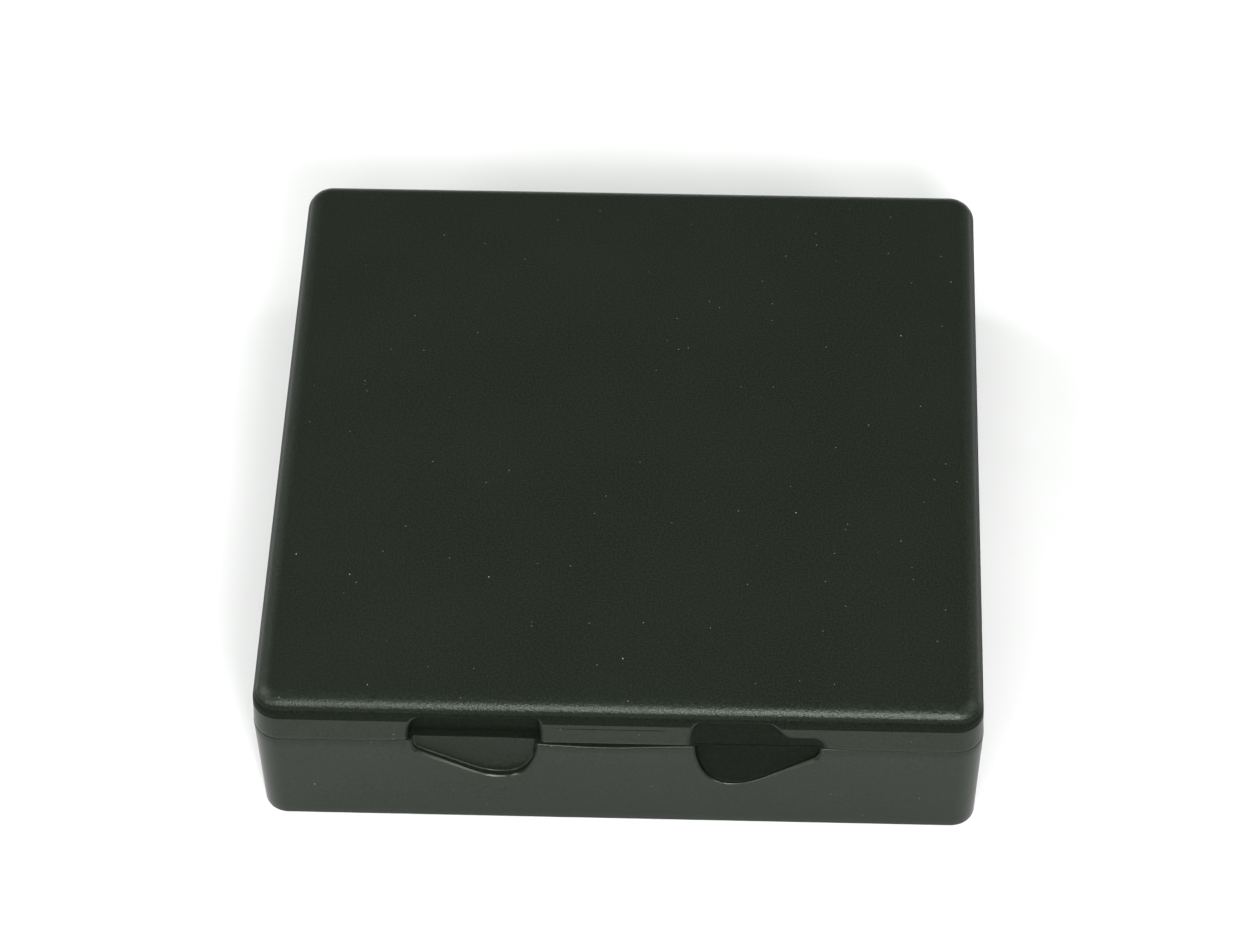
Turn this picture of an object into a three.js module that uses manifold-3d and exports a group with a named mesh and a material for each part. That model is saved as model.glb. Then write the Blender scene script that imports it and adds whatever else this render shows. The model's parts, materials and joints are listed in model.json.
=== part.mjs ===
// Battery demagnetizer for watches, built into a hinged moulded case.
// Millimetres. +X is right, +Y is back (the hinge side), +Z is up, and the origin is the middle of the underside.
import * as THREE from "three";
import { mergeVertices } from "three/addons/utils/BufferGeometryUtils.js";
import Module from "manifold-3d";

const wasm = await Module();
wasm.setup();

// ---------- driving dimensions ----------

const caseWidth = 104;
const caseDepth = 105.5;
const caseHeight = 25.5;
const seamHeight = 18;
const wall = 2;
const cornerRadius = 4.1;
const beadRadius = 2.8;
const draft = Math.tan(THREE.MathUtils.degToRad(2));
const seamGap = 0.2;
const restGap = 0.1;
const fitGap = 0.3;

const frontFace = -caseDepth / 2;
const backFace = caseDepth / 2;
const baseTop = seamHeight - seamGap / 2;
const lidBottom = seamHeight + seamGap / 2;
const lidCeiling = caseHeight - wall;

// Hinge: two sets of three knuckles at the back, on the seam.
const hinge = { y: backFace + 0.15, z: seamHeight, knuckle: 2.2, relief: 2.6, pin: 0.9, centres: [-30, 30] };
const knuckleLength = 7;
const knuckleGap = 0.4;

// Deck: the plate that closes the base under the lid.
const deck = { bottom: 15, top: 16.6, halfWidth: 48.4, front: -47.4, back: 48.4, corner: 3 };
const deckScrews = [
  [-44.5, -43.5],
  [44.5, -43.5],
  [-44.5, 44.5],
  [44.5, 44.5],
];

// Coil: a spool whose middle is the well that takes the watch.
const coil = { x: -15, y: 9, well: 21, tube: 22.5, winding: 27, flange: 28.5, bottom: 2.3, top: 17 };
const flangeThickness = 1.5;
const upperFlangeBottom = 13.1;

// Controls on the deck, over the circuit board.
const button = { x: 30, y: -35, cap: 7, hole: 7.3, flange: 8.6, stem: 2.5, top: 19.4 };
const lamp = { x: 15, y: -35, lens: 2.5, flange: 3.1, top: 19.2 };
const board = { halfWidth: 39, front: -46, back: -25, bottom: 3.6, top: 5.2 };
const boardScrews = [
  [-36.6, -28],
  [36.6, -28],
];

// Battery bay: two AAA cells behind a door that slides out at the back.
const bay = { left: 18, right: 40.4, front: -5, back: 44, roof: 13.2, wall: 1.4, side: 2 };
const cell = { radius: 5.25, length: 43.5, nub: 1, nubRadius: 1.9, z: 7.7, x: [23.85, 34.55] };
const doorSlot = { ledge: 1, top: 2, overhang: 1, lip: 6.3 };

// ---------- solids ----------

function toSolid(geometry) {
  const bare = geometry.index ? geometry.toNonIndexed() : geometry.clone();
  bare.deleteAttribute("normal");
  bare.deleteAttribute("uv");
  const merged = mergeVertices(bare, 1e-4);
  const vertProperties = merged.attributes.position.array;
  const triVerts = new Uint32Array(merged.index.array);
  return new wasm.Manifold(new wasm.Mesh({ numProp: 3, vertProperties, triVerts }));
}

function toGeometry(solid) {
  const { numProp, numVert, vertProperties, triVerts } = solid.getMesh();
  const positions = new Float32Array(numVert * 3);
  for (let i = 0; i < numVert; i++) {
    positions.set(vertProperties.subarray(i * numProp, i * numProp + 3), i * 3);
  }
  const geometry = new THREE.BufferGeometry();
  geometry.setAttribute("position", new THREE.BufferAttribute(positions, 3));
  geometry.setIndex(new THREE.BufferAttribute(triVerts, 1));
  geometry.computeVertexNormals();
  return geometry;
}

const join = (...solids) => solids.reduce((sum, solid) => sum.add(solid));
const cut = (body, ...tools) => tools.reduce((rest, tool) => rest.subtract(tool), body);

function block([x0, x1], [y0, y1], [z0, z1]) {
  const box = new THREE.BoxGeometry(x1 - x0, y1 - y0, z1 - z0);
  box.translate((x0 + x1) / 2, (y0 + y1) / 2, (z0 + z1) / 2);
  return toSolid(box);
}

// A round bar standing on (x, y).
function post(x, y, radius, [z0, z1], sides = 24) {
  const bar = new THREE.CylinderGeometry(radius, radius, z1 - z0, sides);
  bar.rotateX(Math.PI / 2);
  bar.translate(x, y, (z0 + z1) / 2);
  return toSolid(bar);
}

// A round bar lying along X.
function barAlongX([x0, x1], y, z, radius, sides = 24) {
  const bar = new THREE.CylinderGeometry(radius, radius, x1 - x0, sides);
  bar.rotateZ(Math.PI / 2);
  bar.translate((x0 + x1) / 2, y, z);
  return toSolid(bar);
}

// A round bar lying along Y.
function barAlongY(x, [y0, y1], z, radius, sides = 24) {
  const bar = new THREE.CylinderGeometry(radius, radius, y1 - y0, sides);
  bar.translate(x, (y0 + y1) / 2, z);
  return toSolid(bar);
}

// A turned piece about the vertical through (x, y). The profile lists [radius, height] pairs.
function turned(x, y, profile, sides = 32) {
  const points = profile.map(([radius, height]) => new THREE.Vector2(radius, height));
  const lathe = new THREE.LatheGeometry(points, sides);
  lathe.rotateX(Math.PI / 2);
  lathe.translate(x, y, 0);
  return toSolid(lathe);
}

function quarterArc(radius, height, round, steps = 4) {
  const points = [];
  for (let i = 0; i <= steps; i++) {
    const angle = (i / steps) * (Math.PI / 2);
    points.push([radius - round + round * Math.cos(angle), height - round + round * Math.sin(angle)]);
  }
  return points;
}

// A ring of points round a rectangle with round corners, counter-clockwise from above.
function roundedRing(halfX, halfY, radius, z, steps = 6) {
  const ring = [];
  const corners = [
    [1, 1],
    [-1, 1],
    [-1, -1],
    [1, -1],
  ];
  corners.forEach(([sideX, sideY], quarter) => {
    for (let i = 0; i <= steps; i++) {
      const angle = (quarter + i / steps) * (Math.PI / 2);
      const x = sideX * (halfX - radius) + radius * Math.cos(angle);
      const y = sideY * (halfY - radius) + radius * Math.sin(angle);
      ring.push(new THREE.Vector3(x, y, z));
    }
  });
  return ring;
}

// A closed solid through rings of equal point count, from the lowest to the highest.
function loft(rings) {
  const count = rings[0].length;
  const index = [];
  for (let level = 0; level + 1 < rings.length; level++) {
    for (let i = 0; i < count; i++) {
      const low = level * count + i;
      const lowNext = level * count + ((i + 1) % count);
      index.push(low, lowNext, low + count, lowNext, lowNext + count, low + count);
    }
  }
  const last = (rings.length - 1) * count;
  for (let i = 1; i + 1 < count; i++) {
    index.push(0, i + 1, i);
    index.push(last, last + i, last + i + 1);
  }
  const geometry = new THREE.BufferGeometry().setFromPoints(rings.flat());
  geometry.setIndex(index);
  return toSolid(geometry);
}

// The case's own outline, drawn in by inset.
function caseRing(inset, z) {
  const radius = Math.max(cornerRadius - inset, 1);
  return roundedRing(caseWidth / 2 - inset, caseDepth / 2 - inset, radius, z);
}

class Helix extends THREE.Curve {
  constructor(radiusStart, radiusEnd, length, turns) {
    super();
    Object.assign(this, { radiusStart, radiusEnd, length, turns });
  }

  getPoint(t, target = new THREE.Vector3()) {
    const angle = t * this.turns * Math.PI * 2;
    const radius = THREE.MathUtils.lerp(this.radiusStart, this.radiusEnd, t);
    return target.set(radius * Math.cos(angle), radius * Math.sin(angle), t * this.length);
  }
}

function circleShape(radius, sides) {
  const points = [];
  for (let i = 0; i < sides; i++) {
    const angle = (i / sides) * Math.PI * 2;
    points.push(new THREE.Vector2(radius * Math.cos(angle), radius * Math.sin(angle)));
  }
  return new THREE.Shape(points);
}

function tubeAlong(path, radius, steps, sides = 8) {
  const settings = { steps, extrudePath: path, bevelEnabled: false };
  return new THREE.ExtrudeGeometry(circleShape(radius, sides), settings);
}

function lead(points, radius = 0.6) {
  const path = new THREE.CatmullRomCurve3(points.map((point) => new THREE.Vector3(...point)));
  return toSolid(tubeAlong(path, radius, 14));
}

// ---------- finger grips in the front wall ----------

// A wing outline seen from the front: x runs outwards from the centre line and y is the height over the seam.
// Its round lobe is at the inner end, and a straight slope rises from there to the outer end.
function wingShape({ inner, outer, lobe, drop, endDrop, top }) {
  const direction = Math.sign(outer);
  const shape = new THREE.Shape();
  shape.moveTo(inner, top);
  shape.bezierCurveTo(inner, -0.62 * drop, inner + direction * 1.6, -drop, lobe, -drop);
  shape.quadraticCurveTo(lobe + direction * 2, -drop, lobe + direction * 3.6, -0.9 * drop);
  shape.lineTo(outer - direction * 1.2, -endDrop);
  shape.quadraticCurveTo(outer, -0.7 * endDrop, outer, -0.2 * endDrop);
  shape.lineTo(outer, top);
  return shape;
}

// A front-wall feature: the outline from y0 to y1, leaning back by lean for each millimetre of height.
function frontPiece(shape, [y0, y1], lean) {
  const prism = new THREE.ExtrudeGeometry(shape, { depth: y1 - y0, bevelEnabled: false, curveSegments: 6 });
  prism.rotateX(Math.PI / 2);
  prism.translate(0, y1, 0);
  prism.applyMatrix4(new THREE.Matrix4().makeShear(0, 0, 0, 0, 0, lean));
  prism.translate(0, 0, seamHeight);
  return toSolid(prism);
}

const outside = frontFace - 3;
const aboveSeam = 1;
const leftWing = { inner: -11, outer: -29.5, lobe: -16.6, drop: 8.2, endDrop: 2.6, top: aboveSeam };
const leftPlate = { inner: -11.8, outer: -28.7, lobe: -16.6, drop: 7.4, endDrop: 1.9, top: aboveSeam };
const rightWing = { inner: 11, outer: 29.7, lobe: 16.2, drop: 9.5, endDrop: 2.6, top: aboveSeam };
const plateDepth = 1.45;
const leftDepth = 1.8;
const rightDepth = 2.6;
const leftLean = 0.05;
const rightLean = 0.15;
const gripBacking = 1.3;

function scoopShape(innerX, outerX, height, outerHeight) {
  const direction = Math.sign(outerX);
  const shape = new THREE.Shape();
  shape.moveTo(innerX, -aboveSeam);
  shape.lineTo(innerX, 0.6 * height);
  shape.quadraticCurveTo(innerX + direction * 0.4, height, innerX + direction * 3, height);
  shape.lineTo(innerX + direction * 9, height);
  shape.lineTo(outerX - direction, outerHeight);
  shape.lineTo(outerX, 0.5 * outerHeight);
  shape.lineTo(outerX, -aboveSeam);
  return shape;
}

const lidScoopHeight = 4.4;
const lidScoopEnd = 1.7;
const leftScoopDepth = 2.3;
const rightScoopLean = 0.2;

// ---------- hinge ----------

// The three knuckle spans of one hinge: base, lid, base.
function knuckleSpans(centre) {
  const pitch = knuckleLength + knuckleGap;
  return [-1, 0, 1].map((place) => {
    const middle = centre + place * pitch;
    return [middle - knuckleLength / 2, middle + knuckleLength / 2];
  });
}

const widen = ([low, high], by) => [low - by, high + by];
const knuckle = (span) => barAlongX(span, hinge.y, hinge.z, hinge.knuckle, 32);
const knuckleRelief = (span) => barAlongX(widen(span, knuckleGap), hinge.y, hinge.z, hinge.relief, 32);
const hingeHalf = 1.5 * knuckleLength + knuckleGap;
const pinBore = (centre, clearance) =>
  barAlongX(widen([centre, centre], hingeHalf + restGap), hinge.y, hinge.z, hinge.pin + clearance);
const baseSpans = hinge.centres.flatMap((centre) => [knuckleSpans(centre)[0], knuckleSpans(centre)[2]]);
const lidSpans = hinge.centres.map((centre) => knuckleSpans(centre)[1]);

function hingePin(centre) {
  return barAlongX(widen([centre, centre], hingeHalf - 0.2), hinge.y, hinge.z, hinge.pin);
}

// ---------- case ----------

// Locating lips stand inside the wall and reach into the lid.
const lip = { thickness: 1.2, height: 1.3, root: 4 };
const mirrored = ([low, high], side) => (side > 0 ? [low, high] : [-high, -low]);

// The two bars of a lip behind a wall's inner face, as [depth span, height span]: its root in the base, and the
// part that reaches into the lid.
function lipBars(face) {
  const inner = face - lip.thickness;
  return [
    [[inner, face + 0.3], [seamHeight - lip.root, baseTop]],
    [[inner, face - fitGap], [baseTop - 1, seamHeight + lip.height]],
  ];
}

function sideLip(side, span) {
  const bars = lipBars(caseWidth / 2 - wall);
  return join(...bars.map(([across, heights]) => block(mirrored(across, side), span, heights)));
}

function endLip(side, span) {
  const bars = lipBars(caseDepth / 2 - wall);
  return join(...bars.map(([along, heights]) => block(span, mirrored(along, side), heights)));
}

function baseBody() {
  const edge = 0.4;
  const outer = loft([
    caseRing(draft * seamHeight + edge, 0),
    caseRing(draft * (seamHeight - edge), edge),
    caseRing(draft * (seamHeight - baseTop), baseTop),
  ]);
  const cavity = loft([
    caseRing(wall + draft * (seamHeight - wall), wall),
    caseRing(wall, seamHeight + 1),
  ]);
  return cut(outer, cavity);
}

function batteryBay() {
  const left = bay.left - bay.side;
  const right = bay.right + bay.side;
  const front = bay.front - bay.wall;
  const back = bay.back + bay.wall;
  const roofTop = bay.roof + 1.2;
  const shell = block([left, right], [front, back], [wall - 0.5, roofTop]);
  const room = block([bay.left, bay.right], [bay.front, bay.back], [0, bay.roof]);
  const leadHoles = cell.x.map((x) => block([x - 1, x + 1], [front - 1, bay.front + 1], [9, 11]));
  return cut(shell, room, ...leadHoles);
}

// The slot for the door: a narrow mouth in the underside over a wide channel, open at the back.
function doorChannel() {
  const mouth = block([bay.left, bay.right], [bay.front, backFace + 2], [-1, doorSlot.top]);
  const channelX = widen([bay.left, bay.right], doorSlot.overhang);
  const channel = block(channelX, [bay.front, backFace + 2], [doorSlot.ledge, doorSlot.top]);
  const exit = block([bay.left, bay.right], [backFace - wall - 1.5, backFace + 2], [-1, doorSlot.lip]);
  return join(mouth, channel, exit);
}

const bossRadius = 3.2;
const bossHoleFloor = 6;
const sideLipSpan = [-38, 40];
// The walls are thicker behind the finger grips, over this distance out from the middle.
const backingSpan = [8.6, 32];

function baseShell() {
  const bossTop = deck.bottom - restGap;
  const bosses = deckScrews.map(([x, y]) => post(x, y, bossRadius, [wall - 0.5, bossTop]));
  const bossHoles = deckScrews.map(([x, y]) => post(x, y, 1.2, [bossHoleFloor, seamHeight], 16));
  const boardPosts = boardScrews.map(([x, y]) => post(x, y, 2.5, [wall - 0.5, board.bottom - restGap]));
  const boardHoles = boardScrews.map(([x, y]) => post(x, y, 0.9, [1, seamHeight], 16));
  const gripBack = frontFace + rightDepth + gripBacking;
  const leftBack = frontFace + leftDepth + gripBacking;
  const rightGrip = block(backingSpan, [frontFace + 1, gripBack], [6.5, baseTop]);
  const leftGrip = block(mirrored(backingSpan, -1), [frontFace + 1, leftBack], [7.5, baseTop]);
  const lips = [
    sideLip(1, sideLipSpan),
    sideLip(-1, sideLipSpan),
    endLip(-1, [-8, 8]),
    endLip(1, [-16, 16]),
  ];
  const rightPocket = frontPiece(wingShape(rightWing), [outside, frontFace + rightDepth], rightLean);
  const leftPocket = frontPiece(wingShape(leftWing), [outside, frontFace + leftDepth], leftLean);
  const plateSpan = [frontFace + plateDepth, frontFace + leftDepth + 0.5];
  const plate = frontPiece(wingShape({ ...leftPlate, top: -seamGap / 2 }), plateSpan, leftLean);
  const body = join(baseBody(), ...bosses, ...boardPosts, rightGrip, leftGrip, ...lips, batteryBay());
  const grips = cut(body, rightPocket, leftPocket).add(plate);
  const trimmed = cut(grips, doorChannel(), ...bossHoles, ...boardHoles, ...lidSpans.map(knuckleRelief));
  const hinged = join(trimmed, ...baseSpans.map(knuckle));
  return cut(hinged, ...hinge.centres.map((centre) => pinBore(centre, 0.03)));
}

function lidBody() {
  const straightTop = caseHeight - beadRadius;
  const rings = [caseRing(draft * (lidBottom - seamHeight), lidBottom)];
  const steps = 5;
  for (let i = 0; i <= steps; i++) {
    const angle = (i / steps) * (Math.PI / 2);
    const inset = draft * (straightTop - seamHeight) + beadRadius * (1 - Math.cos(angle));
    rings.push(caseRing(inset, straightTop + beadRadius * Math.sin(angle)));
  }
  const cavity = loft([caseRing(wall, seamHeight - 1), caseRing(wall + draft * 5, lidCeiling)]);
  return cut(loft(rings), cavity);
}

function lidShell() {
  const backing = (span, depth) =>
    block(span, [frontFace + 1, frontFace + depth + gripBacking], [lidBottom, lidCeiling + 0.5]);
  const leftShape = scoopShape(-10.8, -29.8, lidScoopHeight, lidScoopEnd);
  const rightShape = scoopShape(11.2, 29.6, lidScoopHeight, lidScoopEnd);
  const leftScoop = frontPiece(leftShape, [outside, frontFace + leftScoopDepth], 0);
  const rightScoop = frontPiece(rightShape, [outside, frontFace], rightScoopLean);
  const leftBacking = backing(mirrored(backingSpan, -1), leftScoopDepth);
  const rightBacking = backing(backingSpan, 1);
  const body = join(lidBody(), leftBacking, rightBacking);
  const trimmed = cut(body, leftScoop, rightScoop, ...baseSpans.map(knuckleRelief));
  const hinged = join(trimmed, ...lidSpans.map(knuckle));
  return cut(hinged, ...hinge.centres.map((centre) => pinBore(centre, 0.08)));
}

const foam = { half: 45.5, corner: 5, bottom: 20.4 };

function foamPad() {
  const ring = (z) => roundedRing(foam.half, foam.half, foam.corner, z, 5);
  return loft([ring(foam.bottom), ring(lidCeiling - restGap)]);
}

// ---------- deck and controls ----------

function deckPlate() {
  const middleY = (deck.front + deck.back) / 2;
  const halfY = (deck.back - deck.front) / 2;
  const ring = (z) => roundedRing(deck.halfWidth, halfY, deck.corner, z, 5).map((p) => p.setY(p.y + middleY));
  const plate = loft([ring(deck.bottom), ring(deck.top)]);
  const buttonCollar = post(button.x, button.y, button.hole + 1.5, [deck.bottom, deck.top + 0.8], 40);
  const lampCollar = post(lamp.x, lamp.y, lamp.lens + 1.6, [deck.bottom, deck.top + 0.6], 32);
  const through = [deck.bottom - 1, deck.top + 2];
  const wellHole = post(coil.x, coil.y, coil.tube + fitGap, through, 48);
  const buttonHole = post(button.x, button.y, button.hole, through, 40);
  const lampHole = post(lamp.x, lamp.y, lamp.lens + 0.15, through, 32);
  const screwHoles = deckScrews.map(([x, y]) => post(x, y, 1.4, through, 16));
  return cut(join(plate, buttonCollar, lampCollar), wellHole, buttonHole, lampHole, ...screwHoles);
}

// A pan-head screw with a cross recess, its head resting at height seat.
function crossScrew([x, y], seat, { shaft, head, headHeight, length }) {
  const profile = [
    [0, seat - length],
    [shaft * 0.6, seat - length],
    [shaft, seat - length + 1],
    [shaft, seat],
    [head, seat],
    ...quarterArc(head, seat + headHeight, headHeight * 0.7, 2),
    [0, seat + headHeight],
  ];
  const arm = head * 0.6;
  const slot = 0.28;
  const depth = [seat + headHeight * 0.5, seat + headHeight + 1];
  const across = block([x - arm, x + arm], [y - slot, y + slot], depth);
  const along = block([x - slot, x + slot], [y - arm, y + arm], depth);
  return cut(turned(x, y, profile, 16), across, along);
}

const deckScrewSize = { shaft: 1.1, head: 2.3, headHeight: 1.4, length: 9 };
const boardScrewSize = { shaft: 0.8, head: 1.7, headHeight: 1.1, length: 3.6 };

function pushButton() {
  const flangeTop = deck.bottom - fitGap;
  const flangeBottom = flangeTop - 1.2;
  const stemEnd = 10.2;
  return turned(button.x, button.y, [
    [0, stemEnd],
    [button.stem, stemEnd],
    [button.stem, flangeBottom],
    [button.flange, flangeBottom],
    [button.flange, flangeTop],
    [button.cap, flangeTop],
    ...quarterArc(button.cap, button.top, 0.8, 4),
    [button.cap - 3, button.top - 0.35],
    [0, button.top - 0.5],
  ], 32);
}

function buttonSpring() {
  const wire = 0.4;
  const radius = 5.4;
  const low = board.top + restGap + wire;
  const high = deck.bottom - fitGap - 1.2 - restGap - wire;
  const spring = tubeAlong(new Helix(radius, radius, high - low, 3.5), wire, 48, 6);
  spring.translate(button.x, button.y, low);
  return toSolid(spring);
}

function switchBody() {
  const floor = board.top + restGap;
  const body = block([button.x - 3, button.x + 3], [button.y - 3, button.y + 3], [floor, floor + 2.2]);
  return join(body, post(button.x, button.y, 1.7, [floor + 2, 8.5], 20));
}

function indicatorLamp() {
  const flange = 12.4;
  const lens = turned(lamp.x, lamp.y, [
    [0, flange],
    [lamp.flange, flange],
    [lamp.flange, flange + 1],
    [lamp.lens, flange + 1],
    ...quarterArc(lamp.lens, lamp.top, 2.3, 5),
    [0, lamp.top],
  ], 24);
  const legs = [-1.27, 1.27].map((offset) => post(lamp.x + offset, lamp.y, 0.3, [board.top + restGap, flange + 0.5], 8));
  return join(lens, ...legs);
}

// ---------- coil ----------

function coilBobbin() {
  const { well, tube, flange, bottom, top } = coil;
  return turned(coil.x, coil.y, [
    [0, bottom],
    [flange, bottom],
    [flange, bottom + flangeThickness],
    [tube, bottom + flangeThickness],
    [tube, upperFlangeBottom],
    [flange, upperFlangeBottom],
    [flange, upperFlangeBottom + flangeThickness],
    [tube, upperFlangeBottom + flangeThickness],
    ...quarterArc(tube, top, 0.5, 3),
    [well + 0.5, top],
    [well, top - 0.5],
    [well, bottom + flangeThickness],
    [0, bottom + flangeThickness],
  ], 48);
}

function coilWinding() {
  const inner = coil.tube + restGap;
  const low = coil.bottom + flangeThickness + restGap;
  const high = upperFlangeBottom - restGap;
  return turned(coil.x, coil.y, [
    [inner, low],
    [coil.winding, low],
    [coil.winding, high],
    [inner, high],
    [inner, low],
  ], 48);
}

function wellPad() {
  const floor = coil.bottom + flangeThickness + restGap;
  return post(coil.x, coil.y, coil.well - fitGap, [floor, floor + 1], 48);
}

// ---------- circuit ----------

function circuitBoard() {
  const plate = block([-board.halfWidth, board.halfWidth], [board.front, board.back], [board.bottom, board.top]);
  return cut(plate, ...boardScrews.map(([x, y]) => post(x, y, 1.1, [board.bottom - 1, board.top + 1], 16)));
}

function capacitor(y) {
  const radius = 4.5;
  const can = { start: -33, end: -16 };
  const z = board.top + restGap + radius;
  const body = barAlongX([can.start, can.end], y, z, radius, 24);
  const groove = cut(
    barAlongX([can.end - 2.4, can.end - 1.6], y, z, radius + 1, 24),
    barAlongX([can.end - 3, can.end - 1], y, z, radius - 0.4, 24),
  );
  return cut(body, groove);
}

const transformer = { x: [-12.5, 0.5], y: [-38, -33], z: [5.3, 14.1], yoke: 2, halfLeg: 1.9 };

function transformerCore() {
  const { yoke, halfLeg } = transformer;
  const [x0, x1] = transformer.x;
  const middle = (x0 + x1) / 2;
  const span = widen(transformer.y, 1);
  const heights = widen(transformer.z, -yoke);
  const windows = [
    block([x0 + yoke, middle - halfLeg], span, heights),
    block([middle + halfLeg, x1 - yoke], span, heights),
  ];
  return cut(block(transformer.x, transformer.y, transformer.z), ...windows);
}

function transformerWinding() {
  const clearance = 0.2;
  const { yoke, halfLeg } = transformer;
  const [x0, x1] = transformer.x;
  const middle = (x0 + x1) / 2;
  const heights = widen(transformer.z, -yoke - clearance);
  const coilBlock = block(widen([x0, x1], -yoke - clearance), widen(transformer.y, 2), heights);
  const legHole = block(
    widen([middle, middle], halfLeg + clearance),
    widen(transformer.y, clearance),
    widen(heights, 1),
  );
  return cut(coilBlock, legHole);
}

function powerTransistor() {
  const floor = board.top + restGap;
  const body = block([3, 11], [-40, -29], [floor, floor + 2.8]);
  return cut(body, post(7, -31.5, 1.5, [floor - 1, floor + 4], 20));
}

// ---------- battery ----------

// A cell with its positive nub pointing along Y in the given direction.
function batteryCell(x, direction) {
  const near = bay.front + 1;
  const nubStart = direction > 0 ? bay.back - 0.9 - cell.nub : near + cell.nub;
  const ends = [nubStart, nubStart - direction * cell.length].sort((a, b) => a - b);
  const nub = [nubStart - direction * 0.5, nubStart + direction * cell.nub].sort((a, b) => a - b);
  return join(
    barAlongY(x, ends, cell.z, cell.radius, 28),
    barAlongY(x, nub, cell.z, cell.nubRadius, 16),
  );
}

const contactThickness = 0.4;

function backContact() {
  const y0 = bay.back - restGap - contactThickness;
  return block([19, 39.4], [y0, y0 + contactThickness], [3, 12.4]);
}

function frontContact(x) {
  const y0 = bay.front + restGap;
  return block([x - 4.6, x + 4.6], [y0, y0 + contactThickness], [3, 12.4]);
}

// A conical contact spring, its wide end at yWide.
function contactSpring(x, yWide, direction) {
  const wire = 0.3;
  const spring = tubeAlong(new Helix(3.8, 2.2, 2 - wire, 2), wire, 24, 6);
  spring.rotateX((-direction * Math.PI) / 2);
  spring.translate(x, yWide + direction * (wire + restGap), cell.z);
  return toSolid(spring);
}

function batteryDoor() {
  const slack = 0.2;
  const narrow = widen([bay.left, bay.right], -slack);
  const wide = widen([bay.left, bay.right], doorSlot.overhang - slack);
  const start = bay.front + slack;
  const lipStart = backFace - wall - 0.3;
  const panel = block(narrow, [start, lipStart + 0.5], [0.2, doorSlot.ledge + 0.3]);
  const tongue = block(wide, [start, lipStart - 1], [doorSlot.ledge + restGap, doorSlot.top - slack]);
  const lipFace = backFace - draft * (seamHeight - doorSlot.lip / 2) - 0.2;
  const endWall = block(narrow, [lipStart, lipFace], [0.2, doorSlot.lip - slack]);
  const grips = [0, 1, 2, 3].map((row) => {
    const y = lipStart - 6 - row * 2;
    return block([24, 34.4], [y, y + 1], [-1, 0.6]);
  });
  return cut(join(panel, tongue, endWall), ...grips);
}

// ---------- wiring ----------

function coilLead(x, boardX) {
  const offset = x - coil.x;
  const y = coil.y - Math.sqrt((coil.winding + 1) ** 2 - offset ** 2);
  const landing = board.top + 0.9;
  return lead([
    [x, y, 9],
    [x, y - 2.5, 8.6],
    [boardX, board.back + 1, 7.4],
    [boardX, board.back - 1.4, landing + 0.4],
    [boardX, board.back - 3.4, landing],
  ]);
}

function batteryLead(x, boardX) {
  const landing = board.top + 0.9;
  return lead([
    [x, bay.front - 0.3, 10],
    [x, bay.front - 4, 10],
    [(x + boardX) / 2, -14, 8.6],
    [boardX, board.back + 1, 7.4],
    [boardX, board.back - 1.4, landing + 0.4],
    [boardX, board.back - 3.2, landing],
  ]);
}

// ---------- materials ----------

function plastic(color, roughness) {
  return new THREE.MeshStandardMaterial({ color, roughness, metalness: 0 });
}

function metal(color, roughness) {
  return new THREE.MeshStandardMaterial({ color, roughness, metalness: 1 });
}

const finishes = {
  caseBlack: plastic(0x1c1e1c, 0.45),
  deckGrey: plastic(0x34383a, 0.55),
  nylon: plastic(0xd8d4c4, 0.5),
  foam: plastic(0x2b2d30, 0.95),
  felt: plastic(0x1f4a38, 0.95),
  buttonRed: plastic(0xa81c16, 0.3),
  lampRed: plastic(0xd22b20, 0.15),
  boardGreen: plastic(0x1f5a34, 0.5),
  partBlack: plastic(0x17181a, 0.4),
  leadRed: plastic(0xb3231c, 0.45),
  leadBlack: plastic(0x18191a, 0.45),
  cellJacket: plastic(0x9a9ea3, 0.3),
  capacitorSleeve: plastic(0x20304f, 0.35),
  ferrite: plastic(0x3a3b3d, 0.6),
  steel: metal(0xb9bcbf, 0.35),
  copper: metal(0xb5652f, 0.35),
  nickel: metal(0xc9c6bd, 0.25),
};

// ---------- assembly ----------

const demagnetizer = new THREE.Group();

function addPiece(name, solid, finish) {
  const mesh = new THREE.Mesh(toGeometry(solid), finishes[finish]);
  mesh.name = name;
  demagnetizer.add(mesh);
}

addPiece("base_shell", baseShell(), "caseBlack");
addPiece("lid_shell", lidShell(), "caseBlack");
["left", "right"].forEach((side, i) => addPiece(`hinge_pin_${side}`, hingePin(hinge.centres[i]), "steel"));
addPiece("lid_foam_pad", foamPad(), "foam");

addPiece("deck_plate", deckPlate(), "deckGrey");
deckScrews.forEach((place, i) => {
  addPiece(`deck_screw_${i + 1}`, crossScrew(place, deck.top + restGap, deckScrewSize), "steel");
});
addPiece("push_button", pushButton(), "buttonRed");
addPiece("button_spring", buttonSpring(), "steel");
addPiece("switch_body", switchBody(), "partBlack");
addPiece("indicator_lamp", indicatorLamp(), "lampRed");

addPiece("coil_bobbin", coilBobbin(), "nylon");
addPiece("coil_winding", coilWinding(), "copper");
addPiece("well_pad", wellPad(), "felt");

addPiece("circuit_board", circuitBoard(), "boardGreen");
boardScrews.forEach((place, i) => {
  addPiece(`board_screw_${i + 1}`, crossScrew(place, board.top + restGap, boardScrewSize), "steel");
});
[-40.8, -30.6].forEach((y, i) => addPiece(`capacitor_${i + 1}`, capacitor(y), "capacitorSleeve"));
addPiece("transformer_core", transformerCore(), "ferrite");
addPiece("transformer_winding", transformerWinding(), "copper");
addPiece("power_transistor", powerTransistor(), "partBlack");

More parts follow.
